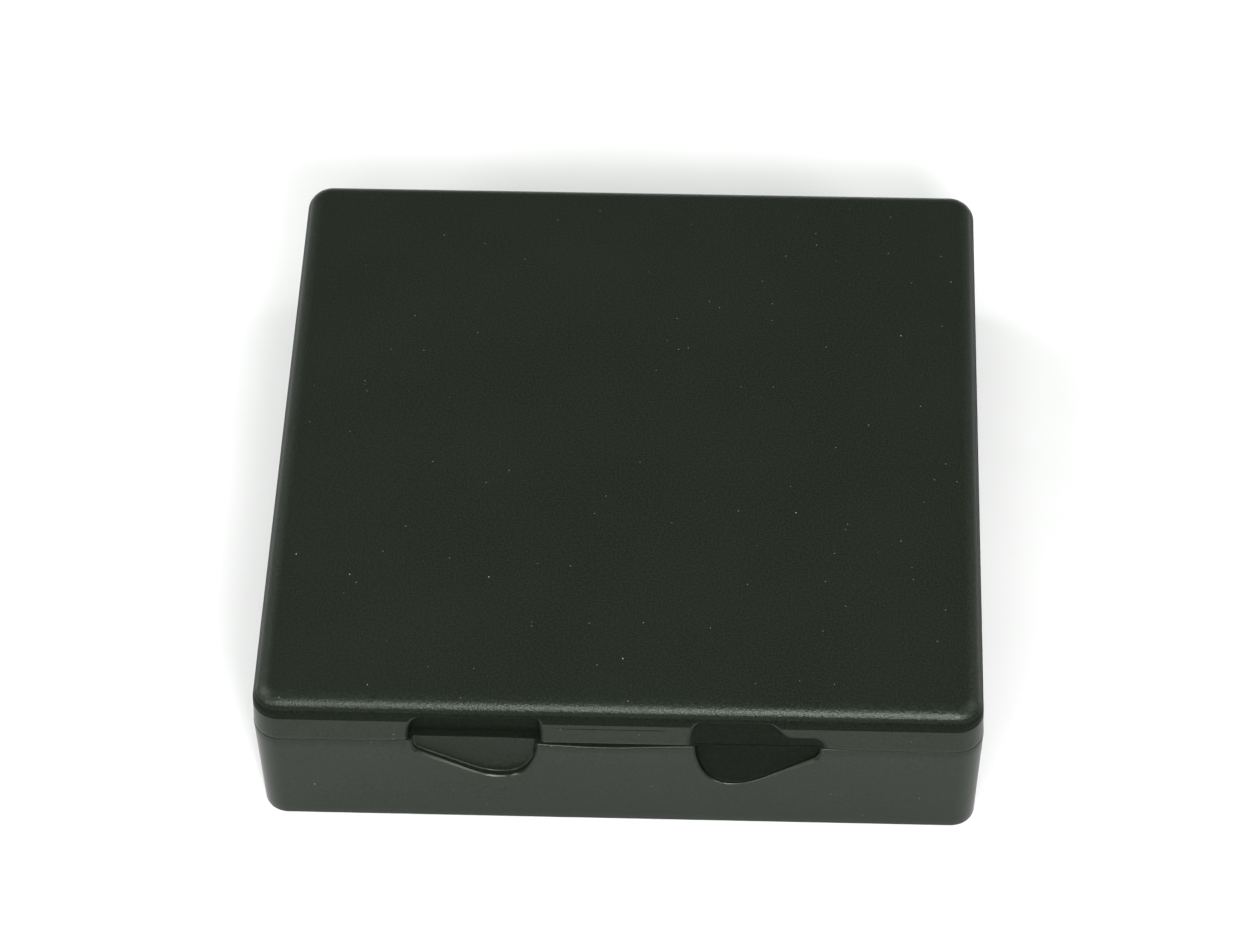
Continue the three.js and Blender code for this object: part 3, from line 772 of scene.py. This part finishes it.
def object_space(tree, stretch=(1, 1, 1)):
    """The object's own coordinates, squeezed by stretch."""
    where = tree.nodes.new("ShaderNodeTexCoord")
    if stretch == (1, 1, 1):
        return where.outputs["Object"]
    mapping = tree.nodes.new("ShaderNodeMapping")
    mapping.inputs["Scale"].default_value = stretch
    tree.links.new(where.outputs["Object"], mapping.inputs["Vector"])
    return mapping.outputs["Vector"]


def noise(tree, size, detail=3.0, roughness=0.55, stretch=(1, 1, 1)):
    """Noise with features about size millimetres across."""
    texture = tree.nodes.new("ShaderNodeTexNoise")
    set_inputs(texture, Scale=1 / (size * MM), Detail=detail, Roughness=roughness)
    tree.links.new(object_space(tree, stretch), texture.inputs["Vector"])
    return texture.outputs["Fac"]


def ramp(tree, source, stops):
    """A colour ramp from (position, colour) stops."""
    node = tree.nodes.new("ShaderNodeValToRGB")
    elements = node.color_ramp.elements
    while len(elements) < len(stops):
        elements.new(0.5)
    for element, (position, colour) in zip(elements, stops):
        element.position = position
        element.color = (*colour, 1.0)
    tree.links.new(source, node.inputs["Fac"])
    return node.outputs["Color"]


def spread(tree, source, low, high, out_low, out_high):
    """Carries low..high over to out_low..out_high, and holds it there outside."""
    node = tree.nodes.new("ShaderNodeMapRange")
    set_inputs(node, From_Min=low, From_Max=high, To_Min=out_low, To_Max=out_high)
    tree.links.new(source, node.inputs["Value"])
    return node.outputs["Result"]


def maths(tree, operation, first, second):
    """An operation on two values, each a socket or a plain number."""
    node = tree.nodes.new("ShaderNodeMath")
    node.operation = operation
    for socket, value in zip(node.inputs, (first, second)):
        if isinstance(value, (int, float)):
            socket.default_value = value
        else:
            tree.links.new(value, socket)
    return node.outputs["Value"]


def blend_colours(tree, factor, first, second):
    """first where the factor is 0, second where it is 1; a colour may be a socket or a plain colour."""
    node = tree.nodes.new("ShaderNodeMix")
    node.data_type = "RGBA"
    tree.links.new(factor, node.inputs[0])
    sockets = [socket for socket in node.inputs if socket.type == "RGBA"]
    for socket, value in zip(sockets, (first, second)):
        if isinstance(value, tuple):
            socket.default_value = (*value, 1.0)
        else:
            tree.links.new(value, socket)
    return next(socket for socket in node.outputs if socket.type == "RGBA")


def add_bump(tree, shader, layers):
    """Bumps stacked on one another; each layer is (height source, strength, distance in millimetres)."""
    normal = None
    for height, strength, distance in layers:
        node = tree.nodes.new("ShaderNodeBump")
        set_inputs(node, Strength=strength, Distance=distance * MM)
        tree.links.new(height, node.inputs["Height"])
        if normal is not None:
            tree.links.new(normal, node.inputs["Normal"])
        normal = node.outputs["Normal"]
    tree.links.new(normal, shader.inputs["Normal"])


def set_look(tree, shader, colour, roughness, **plain):
    """Links a material's colour and roughness, and sets plain values such as Sheen_Weight."""
    tree.links.new(colour, shader.inputs["Base Color"])
    tree.links.new(roughness, shader.inputs["Roughness"])
    set_inputs(shader, **plain)


def shade(colour, factor):
    return tuple(min(c * factor, 1.0) for c in colour)


def cells(tree, spacing):
    """A Voronoi texture with cells about spacing millimetres across."""
    texture = tree.nodes.new("ShaderNodeTexVoronoi")
    set_inputs(texture, Scale=1 / (spacing * MM))
    tree.links.new(object_space(tree), texture.inputs["Vector"])
    return texture


def specks(tree, spacing, radius, share):
    """1 in sparse dots, 0 elsewhere. Each cell of the spacing has one dot, and a share of them show."""
    texture = cells(tree, spacing)
    dot = spread(tree, texture.outputs["Distance"], 0.7 * radius / spacing, radius / spacing, 1, 0)
    split = tree.nodes.new("ShaderNodeSeparateColor")
    tree.links.new(texture.outputs["Color"], split.inputs["Color"])
    chosen = maths(tree, "LESS_THAN", split.outputs["Red"], share)
    return maths(tree, "MULTIPLY", dot, chosen)


def moulded_plastic(
    name, colour, roughness, grain_size=0.35, grain=0.5, depth=0.02, specular=0.5, dust=0.0, tint=(1, 1, 1)
):
    """Moulded plastic: fine grain, cloudy gloss, faint rubs and dust. Tint colours its reflections."""
    material, tree, shader = new_material(name)
    cloud = noise(tree, 22, 4)
    fine = noise(tree, grain_size, 2, 0.6)
    rubs = noise(tree, 1.4, 3, 0.5, stretch=(0.12, 1, 1))
    body = ramp(tree, cloud, [(0.3, shade(colour, 0.88)), (0.7, shade(colour, 1.12))])
    gloss = spread(tree, cloud, 0.3, 0.7, roughness - 0.03, roughness + 0.03)
    gloss = maths(tree, "ADD", gloss, spread(tree, rubs, 0.6, 0.8, 0.0, -0.02))
    fleck = spread(tree, noise(tree, 0.3, 1), 0.35, 0.65, 0, 1)
    body = blend_colours(tree, maths(tree, "MULTIPLY", fleck, 0.8), body, shade(colour, 2.2))
    if dust > 0:
        body = blend_colours(tree, specks(tree, 4.0, 0.13, dust), body, (0.16, 0.17, 0.15))
        body = blend_colours(tree, specks(tree, 1.6, 0.1, dust), body, (0.10, 0.11, 0.095))
    set_look(tree, shader, body, gloss, Specular_Tint=(*tint, 1), Specular_IOR_Level=specular)
    add_bump(tree, shader, [(noise(tree, 9, 2), 0.05, 0.1), (fine, grain, depth)])
    return material


def metal(name, colour, roughness, grain_size=0.5, stretch=(1, 1, 1)):
    """Plated or drawn metal: streaks in the gloss, and dulled patches."""
    material, tree, shader = new_material(name)
    shader.inputs["Metallic"].default_value = 1.0
    streaks = noise(tree, grain_size, 4, 0.6, stretch)
    patches = noise(tree, 6, 3)
    tint = ramp(tree, patches, [(0.3, shade(colour, 0.78)), (0.65, colour)])
    dulled = spread(tree, patches, 0.3, 0.7, roughness + 0.1, roughness)
    gloss = maths(tree, "ADD", spread(tree, streaks, 0.3, 0.7, -0.06, 0.06), dulled)
    set_look(tree, shader, tint, gloss)
    add_bump(tree, shader, [(streaks, 0.3, 0.01)])
    return material


def open_cell_foam(name, colour):
    """Foam: pores of two sizes in the colour and the surface. The pores are painted darker: painted shade in
    the holes.
    """
    material, tree, shader = new_material(name)
    hole = spread(tree, cells(tree, 0.75).outputs["Distance"], 0.1, 0.6, 0, 1)
    cloud = noise(tree, 14, 3)
    skin = ramp(tree, cloud, [(0.3, colour), (0.7, shade(colour, 1.35))])
    # Darker at the pore centres: painted shade in the holes.
    tint = blend_colours(tree, hole, shade(colour, 0.4), skin)
    rough = spread(tree, cloud, 0.3, 0.7, 0.9, 1.0)
    set_look(tree, shader, tint, rough, Specular_IOR_Level=0.2, Sheen_Weight=0.15, Sheen_Roughness=0.6)
    add_bump(tree, shader, [(hole, 0.9, 0.25), (noise(tree, 0.3, 3, 0.7), 0.5, 0.1)])
    return material


def pressed_felt(name, colour):
    """Felt: short crossed fibres and a few flattened patches."""
    material, tree, shader = new_material(name)
    along = noise(tree, 0.5, 4, 0.7, stretch=(0.2, 1, 1))
    across = noise(tree, 0.5, 4, 0.7, stretch=(1, 0.2, 1))
    fibres = maths(tree, "MAXIMUM", along, across)
    patches = noise(tree, 7, 3)
    patch = spread(tree, patches, 0.35, 0.65, 0, 1)
    lit = blend_colours(tree, patch, shade(colour, 0.8), shade(colour, 1.1))
    tint = blend_colours(tree, spread(tree, fibres, 0.45, 0.75, 0, 1), lit, shade(colour, 1.9))
    rough = spread(tree, patches, 0.35, 0.65, 0.88, 1.0)
    set_look(tree, shader, tint, rough, Specular_IOR_Level=0.15, Sheen_Weight=0.35, Sheen_Roughness=0.5)
    add_bump(tree, shader, [(fibres, 0.8, 0.2)])
    return material


def solder_mask(name, colour):
    """A circuit board: faint raised tracks under a green coat."""
    material, tree, shader = new_material(name)
    tracks = tree.nodes.new("ShaderNodeTexBrick")
    first, second, lines = [(*shade(colour, factor), 1) for factor in (1, 0.88, 1.9)]
    set_inputs(tracks, Scale=1 / (9 * MM), Mortar_Size=0.035, Color1=first, Color2=second, Mortar=lines)
    tree.links.new(object_space(tree), tracks.inputs["Vector"])
    weave = noise(tree, 0.6, 3)
    set_look(tree, shader, tracks.outputs["Color"], spread(tree, weave, 0.3, 0.7, 0.26, 0.38))
    add_bump(tree, shader, [(tracks.outputs["Fac"], 0.5, 0.05), (weave, 0.2, 0.02)])
    return material


BLACK = (0.0048, 0.0063, 0.0043)
GREENISH = (0.88, 1.0, 0.86)


def case_plastic(name, darkness, roughness, specular, grain_size=0.3, grain=0.4, depth=0.02, dust=0.0):
    """The case's black plastic. Its finishes differ in how dark, rough and shiny they are: most as the mould
    left them, and some darker, duller copies as painted shade.
    """
    colour = shade(BLACK, darkness)
    return moulded_plastic(name, colour, roughness, grain_size, grain, depth, specular, dust, GREENISH)


# The lower bead's two finishes are darker, duller copies of the grain: painted shade for the dark band under
# the bead's highlight. The grip finish in the pockets and scoops is grained and dull, and darker too: partly
# its texture, partly painted shade in the hollows.
SATIN = case_plastic("case_satin", 1, 0.30, 0.207, grain=0.3, dust=0.3)
SKIRT = case_plastic("case_skirt", 1, 0.32, 0.198, grain=0.3, dust=0.3)
GRAIN = case_plastic("case_grain", 0.95, 0.33, 0.2, grain=1.0, depth=0.06, dust=0.3)
# Painted shade: darker, duller copies of the grain for the lower bead.
GRAIN_HALF_SHADED = case_plastic("bead_middle_painted_shade", 0.8, 0.4, 0.09, grain=1.0, depth=0.055)
GRAIN_SHADED = case_plastic("bead_lower_painted_shade", 0.7, 0.5, 0.03, grain=1.0, depth=0.055)
# The grip finish: grained and dull, and darker than the case, partly painted shade in the pockets and scoops.
GRIP = case_plastic("case_grip_and_shade", 0.5, 0.55, 0.055, grain_size=0.35, grain=0.6)
FACE = case_plastic("case_plate", 1, 0.42, 0.11, grain_size=0.5)
# A duller copy of the case's finish round the scoops: a painted soft edge to their shade.
SHADE_FADE = case_plastic("case_shade_fade", 1, 0.42, 0.12)
LID_FINISHES = (SKIRT, GRAIN, GRIP, FACE, SHADE_FADE, GRAIN_HALF_SHADED, GRAIN_SHADED)
BASE_FINISHES = (SATIN, *LID_FINISHES[1:])
PLAIN, GRAINED, BLASTED_AND_SHADED, PLATE, SHADE_FADED, BEAD_HALF_SHADE, BEAD_SHADE = range(len(LID_FINISHES))
GREY = (0.040, 0.044, 0.046)
DECK = moulded_plastic("deck_grey", GREY, 0.46, grain_size=0.45, grain=0.7, depth=0.03, dust=0.05)
NYLON = moulded_plastic("nylon", (0.60, 0.56, 0.46), 0.42, grain_size=1.2, grain=0.2)
RED = moulded_plastic("button_red", (0.40, 0.012, 0.01), 0.30, grain_size=1.5, grain=0.15)
PART_BLACK = moulded_plastic("part_black", (0.012, 0.012, 0.013), 0.42, grain_size=0.3, grain=0.4)
BOARD = solder_mask("board_green", (0.012, 0.1, 0.035))
SLEEVE = moulded_plastic("capacitor_sleeve", (0.015, 0.03, 0.09), 0.32, grain_size=2, grain=0.2)
JACKET = moulded_plastic("cell_jacket", (0.045, 0.05, 0.055), 0.28, grain_size=2, grain=0.15)
FERRITE = moulded_plastic("ferrite", (0.04, 0.041, 0.045), 0.55, grain_size=0.3, grain=0.7)
LEAD_RED = moulded_plastic("lead_red", (0.4, 0.012, 0.01), 0.4, grain_size=1, grain=0.2)
LEAD_BLACK = moulded_plastic("lead_black", (0.012, 0.012, 0.013), 0.4, grain_size=1, grain=0.2)
LENS = moulded_plastic("lamp_red", (0.45, 0.012, 0.01), 0.1, grain_size=3, grain=0.06)
FOAM = open_cell_foam("foam", (0.030, 0.032, 0.036))
FELT = pressed_felt("felt", (0.015, 0.07, 0.042))
STEEL = metal("steel", (0.55, 0.55, 0.56), 0.30)
COPPER = metal("copper", (0.60, 0.20, 0.07), 0.30)
NICKEL = metal("nickel", (0.62, 0.60, 0.56), 0.22)


def assign(piece, *materials):
    piece.data.materials.clear()
    for material in materials:
        piece.data.materials.append(material)
    return piece


def finish_piece(piece, body, slot, *nodes, angle=32):
    """Smooths a piece, attaches it to the body it rides on and hides the nodes it stands for. The slot is not
    used."""
    smooth(piece, angle)
    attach(piece, body)
    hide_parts(*nodes)
    return piece


# Case


def make_case():
    finish_piece(build_lid(), "lid", "case_black", "lid_shell")
    finish_piece(build_base(), "base", "case_black", "base_shell")


# Deck, button and lamp


def make_deck():
    """The cover over the works, with collars round its button and lamp."""
    top = deck_low.z + 1.6
    under, over = 10, 20
    deck = slab("deck", deck_high.x, deck_low.y, deck_high.y, 3.0, deck_low.z, top, 0.35)
    collars = (("push_button", 8.8, 7.3, top + 0.8), ("indicator_lamp", 4.1, 2.65, top + 0.6))
    for node, radius, hole, height in collars:
        x, y = centre_of(node)
        rounding = 0.4
        profile = [(0, top - 0.8), (radius, top - 0.8), (radius, height - rounding)]
        profile += arc((radius - rounding, height - rounding), rounding, 15, 90, 5) + [(0, height)]
        join(deck, lathe("collar", x, y, profile))
        cut(deck, lathe("hole", x, y, round_post(hole, under, over)))
    x, y = centre_of("coil_bobbin")
    cut(deck, lathe("well", x, y, round_post(22.8, under, over), 160))
    for x, y in DECK_SCREWS:
        cut(deck, lathe("hole", x, y, round_post(1.4, under, over), 32))
    finish_piece(assign(deck, DECK), "base", "deck_grey", "deck_plate")


def make_screw(number):
    """A pan-head screw with a crossed recess."""
    name = f"deck_screw_{number}"
    low, high = box_mm(name)
    x, y = centre_of(name)
    head = (high.x - low.x) / 2
    seat = high.z - 1.4
    shaft = 1.1
    profile = [(0, low.z), (0.5, low.z), (shaft, low.z + 0.9), (shaft, seat), (head - 0.15, seat)]
    profile += [(head, seat + 0.15), (head, seat + 0.5)]
    dome = ((0.97, 0.8), (0.86, 1.08), (0.66, 1.28), (0.36, 1.38))
    profile += [(share * head, seat + rise) for share, rise in dome] + [(0, high.z)]
    screw = lathe(f"screw_{number}", x, y, profile, 48)
    slot, arm, depth = 0.28, 0.6 * head, 0.8
    for half_x, half_y in ((arm, slot), (slot, arm)):
        low_corner = (x - half_x, y - half_y, high.z - depth)
        cut(screw, block("slot", low_corner, (x + half_x, y + half_y, high.z + 1)))
    finish_piece(assign(screw, STEEL), "base", "steel", name)


def make_button():
    """A dished cap on a flange and a stem."""
    x, y = centre_of("push_button")
    top = button_high.z
    flange = (button_high.x - button_low.x) / 2
    flange_low, flange_top = deck_low.z - 1.5, deck_low.z - 0.3
    cap, stem = flange - 1.6, 2.5
    edge, rounding, dish = 0.2, 0.8, 0.5
    profile = [(0, button_low.z), (stem - 0.3, button_low.z), (stem, button_low.z + 0.3), (stem, flange_low)]
    profile += [(flange - edge, flange_low), (flange, flange_low + edge), (flange, flange_top - edge)]
    profile += [(flange - edge, flange_top), (cap, flange_top)]
    profile += arc((cap - rounding, top - rounding), rounding, 0, 90, 8)
    for share in (0.8, 0.7, 0.55, 0.4, 0.25, 0.1):
        profile.append((cap * share, top - dish * math.cos(math.pi / 2 * share / 0.88) ** 1.2))
    profile.append((0, top - dish))
    button = lathe("button_cap", x, y, profile)
    finish_piece(assign(button, RED), "button", "button_red", "push_button")


def make_lamp():
    """A domed lens with a flange and two legs."""
    x, y = centre_of("indicator_lamp")
    top = lamp_high.z
    flange_low, flange_top, flange = 12.4, 13.4, 3.1
    edge, dome, neck = 0.1, 2.3, 2.5
    profile = [(0, flange_low), (flange - edge, flange_low), (flange, flange_low + edge)]
    profile += [(flange, flange_top - edge), (flange - edge, flange_top)]
    profile += [(neck, flange_top), (neck, top - dome)]
    profile += arc((0.2, top - dome), dome, 8, 90, 10) + [(0, top)]
    lens = lathe("lens", x, y, profile, 64)
    wire = round_post(0.3, lamp_low.z, flange_low + 0.2)
    legs = [lathe("leg", x + side * 1.27, y, wire, 16) for side in (-1, 1)]
    lamp = joined("lamp", lens, *legs)
    assign(lamp, LENS, NICKEL)
    for face in lamp.data.polygons:
        face.material_index = 1 if face.center.z / MM < flange_low - 0.05 else 0
    finish_piece(lamp, "base", "lamp_red", "indicator_lamp")


# Coil


def make_bobbin():
    """A spool with a floor; its bore is the well."""
    x, y = centre_of("coil_bobbin")
    low, top = bobbin_low.z, bobbin_high.z
    flange = (bobbin_high.x - bobbin_low.x) / 2
    tube, well = flange - 6.0, flange - 7.5
    thick = 1.5
    upper = winding_high.z + 0.1
    edge, rim = 0.2, 0.5
    floor = low + thick
    profile = []
    for start, under in ((0, low), (tube, upper)):
        over = under + thick
        profile += [(start, under), (flange - edge, under), (flange, under + edge)]
        profile += [(flange, over - edge), (flange - edge, over), (tube, over)]
    profile += arc((tube - rim, top - rim), rim, 0, 90, 5)
    profile += arc((well + rim, top - rim), rim, 90, 180, 5)
    profile += [(well, floor + 0.4), (well - 0.15, floor + 0.1), (well - 0.4, floor), (0, floor)]
    bobbin = lathe("bobbin", x, y, profile, 160)
    finish_piece(assign(bobbin, NYLON), "base", "nylon", "coil_bobbin")


def make_winding():
    """Layers of wire: the outer turns show as ribs."""
    x, y = centre_of("coil_winding")
    inner = 22.6
    outer = (winding_high.x - winding_low.x) / 2
    turns = 16
    rib = (winding_high.z - winding_low.z) / turns / 2
    profile = [(inner, winding_low.z), (outer - rib, winding_low.z)]
    for turn in range(turns):
        middle = winding_low.z + rib * (2 * turn + 1)
        profile += arc((outer - rib, middle), rib, -66, 66, 4)
    profile += [(outer - rib, winding_high.z), (inner, winding_high.z)]
    winding = lathe("wire", x, y, profile, 128)
    finish_piece(assign(winding, COPPER), "base", "copper", "coil_winding")


# Pads


def pad_grid(half_x, half_y, corner, cells):
    """A square grid drawn over a rectangle with round corners: x, y and the distance to the edge."""
    grid = []
    for j in range(cells + 1):
        for i in range(cells + 1):
            x = half_x * (2 * i / cells - 1)
            y = half_y * (2 * j / cells - 1)
            over_x = abs(x) - (half_x - corner)
            over_y = abs(y) - (half_y - corner)
            if over_x > 0 and over_y > 0:
                pull = max(over_x, over_y) / math.hypot(over_x, over_y)
                x = math.copysign(half_x - corner + over_x * pull, x)
                y = math.copysign(half_y - corner + over_y * pull, y)
            edge = min(1 - abs(2 * i / cells - 1), 1 - abs(2 * j / cells - 1)) * half_x
            grid.append((x, y, edge))
    return grid


def make_foam():
    """Convoluted foam under the lid: flat where it is stuck on, rows of soft peaks facing down."""
    half_x = foam_high.x
    half_y = (foam_high.y - foam_low.y) / 2
    middle = (foam_high.y + foam_low.y) / 2
    cells, pitch, relief = 120, 6.1, 1.3
    rim, rim_height = 2.2, 1.7
    grid = pad_grid(half_x, half_y, 5.0, cells)
    row = cells + 1
    points = []
    for x, y, edge in grid:
        peaks = 0.5 + 0.5 * math.cos(2 * math.pi * x / pitch) * math.cos(2 * math.pi * y / pitch)
        bend = min(edge / rim, 1.0)
        lift = rim_height * (1 - math.sqrt(1 - (1 - bend) ** 2))
        z = foam_low.z + max(relief * (1 - peaks) * bend, lift)
        points.append((x, middle + y, z))
    points += [(x, middle + y, foam_high.z) for x, y, _ in grid]
    to_top = row * row
    faces = []
    for j in range(cells):
        for i in range(cells):
            a = j * row + i
            faces.append((a, a + row, a + row + 1, a + 1))
            b = a + to_top
            faces.append((b, b + 1, b + row + 1, b + row))
    border = list(range(row))
    border += [j * row + cells for j in range(1, row)]
    border += [cells * row + i for i in range(cells - 1, -1, -1)]
    border += [j * row for j in range(cells - 1, 0, -1)]
    for a, b in zip(border, border[1:] + border[:1]):
        faces.append((a, b, b + to_top, a + to_top))
    foam = fix_normals(mesh_from("foam_lining", points, faces))
    finish_piece(assign(foam, FOAM), "lid", "foam", "lid_foam_pad", angle=60)


def make_well_pad():
    """A felt disc, softly rounded at its edge and pressed slightly hollow."""
    x, y = centre_of("well_pad")
    radius = (pad_high.x - pad_low.x) / 2
    low, top = pad_low.z, pad_high.z
    profile = [(0, low), (radius - 0.4, low), (radius - 0.05, low + 0.25), (radius, low + 0.45)]
    profile += [(radius - 0.1, low + 0.72), (radius - 0.4, top - 0.08), (radius - 1.0, top)]
    hollow = 0.12
    profile += [(radius * f, top - hollow * (1 - f * f)) for f in (0.8, 0.6, 0.4, 0.2)] + [(0, top - hollow)]
    pad = lathe("felt_disc", x, y, profile, 128)
    finish_piece(assign(pad, FELT), "base", "felt", "well_pad", angle=60)


# Nodes carried over


NODE_MATERIALS = (
    (STEEL, "hinge_pin_left hinge_pin_right button_spring board_screw_1 board_screw_2"),
    (PART_BLACK, "switch_body power_transistor"),
    (BOARD, "circuit_board"),
    (FERRITE, "transformer_core"),
    (COPPER, "transformer_winding"),
    (NICKEL, "battery_contact_back battery_contact_front_1 battery_contact_front_2"),
    (NICKEL, "battery_spring_1 battery_spring_2"),
    (SATIN, "battery_door"),
    (LEAD_RED, "coil_lead_1 battery_lead_2"),
    (LEAD_BLACK, "coil_lead_2 battery_lead_1"),
    (SLEEVE, "capacitor_1 capacitor_2"),
    (JACKET, "battery_cell_1 battery_cell_2"),
)
SOFT_EDGES = {
    "circuit_board": 0.08,
    "transformer_core": 0.25,
    "power_transistor": 0.15,
    "switch_body": 0.2,
    "battery_door": 0.2,
    "hinge_pin_left": 0.15,
    "hinge_pin_right": 0.15,
}


def dress_node(name, material):
    """Material, smooth curves and lightly rounded edges for a node that keeps its own shape."""
    piece = assign(frame["nodes"][name], material)
    smooth(piece, 32)
    if name in SOFT_EDGES:
        step = piece.modifiers.new("soft_edges", "BEVEL")
        step.width = SOFT_EDGES[name] * MM
        step.segments = 2
        step.limit_method = "ANGLE"
        step.angle_limit = math.radians(40)


def dress_ends(name, material):
    """Bare metal at both ends of a cell or a capacitor, under the ends of its jacket."""
    piece = frame["nodes"][name]
    low, high = box_mm(name)
    length = high - low
    axis = max(range(3), key=lambda i: length[i])
    piece.data.materials.append(material)
    place = piece.matrix_world
    for face in piece.data.polygons:
        where = (place @ face.center) / MM
        bare = min(where[axis] - low[axis], high[axis] - where[axis]) < 0.04 * length[axis]
        face.material_index = 1 if bare else 0


for material, names in NODE_MATERIALS:
    for name in names.split():
        dress_node(name, material)
for name in ("battery_cell_1", "battery_cell_2", "capacitor_1", "capacitor_2"):
    dress_ends(name, NICKEL)

make_case()
make_deck()
for number in (1, 2, 3, 4):
    make_screw(number)
make_button()
make_lamp()
make_bobbin()
make_winding()
make_foam()
make_well_pad()


# Floor, light and camera


def make_floor():
    """Pale paper, large enough to fill every view."""
    half = 3000
    corners = [(x * half, y * half, 0) for x, y in ((-1, -1), (1, -1), (1, 1), (-1, 1))]
    floor = mesh_from("floor", corners, [(0, 1, 2, 3)])
    material, tree, shader = new_material("floor")
    paper = ramp(tree, noise(tree, 30, 3), [(0.3, (0.57, 0.57, 0.57)), (0.7, (0.59, 0.59, 0.59))])
    tree.links.new(paper, shader.inputs["Base Color"])
    set_inputs(shader, Roughness=0.9, Specular_IOR_Level=0.2)
    set_inputs(shader, Emission_Color=(1, 1, 1, 1), Emission_Strength=0.13)
    assign(floor, material)


def area_light(name, place, aim, size, radiance):
    """A flat panel of even radiance. Place, aim and size are in metres."""
    data = bpy.data.lights.new(name, "AREA")
    data.shape = "RECTANGLE"
    data.size, data.size_y = size
    data.energy = radiance * math.pi * size[0] * size[1]
    light = new_object(name, data)
    light.location = place
    light.rotation_mode = "QUATERNION"
    light.rotation_quaternion = (Vector(aim) - Vector(place)).to_track_quat("-Z", "Y")


def make_light():
    """Two key panels in front draw the line along the bead, two front panels light the bevels of the grips,
    and two large panels fill the sides. The room is dim in front and lighter behind."""
    world = bpy.data.worlds.new("studio")
    bpy.context.scene.world = world
    world.use_nodes = True
    tree = world.node_tree
    background = tree.nodes["Background"]
    direction = tree.nodes.new("ShaderNodeTexCoord")
    split = tree.nodes.new("ShaderNodeSeparateXYZ")
    tree.links.new(direction.outputs["Generated"], split.inputs["Vector"])
    from_front = spread(tree, split.outputs["Y"], -1, 1, 0, 1)
    walls = ramp(tree, from_front, [(0.1, (0.10, 0.11, 0.10)), (0.6, (0.33, 0.36, 0.33))])
    tree.links.new(walls, background.inputs["Color"])
    area_light("key", (-0.04, -0.58, 0.52), (0.0, -0.04, 0.0), (0.30, 0.20), 18)
    area_light("key_right", (0.14, -0.62, 0.46), (0.03, -0.04, 0.0), (0.13, 0.18), 64)
    for name, side, radiance in (("left", -1, 4.8), ("right", 1, 2.8)):
        area_light(name, (side * 1.05, 0.2, 0.85), (0, 0, 0), (1.0, 1.0), radiance)
    for name, side in (("front_left", -1), ("front_right", 1)):
        area_light(name, (side * 0.70, -0.72, 0.56), (0, 0, 0), (0.3, 0.3), 18)


def make_camera():
    """The camera looks down at the front from just right of the middle, with a long lens."""
    width = 2 * HALF_X * MM
    azimuth = math.radians(2.7746)
    elevation = math.radians(48.0753)
    roll = math.radians(-0.9909)
    distance = 6.65782 * width
    target = Vector((-0.009166, 0.050808, 0.115385)) * width
    back = Vector((
        math.sin(azimuth) * math.cos(elevation),
        -math.cos(azimuth) * math.cos(elevation),
        math.sin(elevation),
    ))
    right = Vector((math.cos(azimuth), math.sin(azimuth), 0))
    up = back.cross(right)
    rolled_right = right * math.cos(roll) + up * math.sin(roll)
    rolled_up = up * math.cos(roll) - right * math.sin(roll)
    data = bpy.data.cameras.new("camera")
    data.sensor_width = 36
    data.lens = 131.907
    data.clip_start = 0.01
    data.clip_end = 20
    camera = new_object("camera", data)
    turn = Matrix((rolled_right, rolled_up, back)).transposed().to_4x4()
    camera.matrix_world = Matrix.Translation(target + back * distance) @ turn
    bpy.context.scene.camera = camera


make_floor()
make_light()
make_camera()
bpy.context.scene.view_settings.view_transform = "Standard"
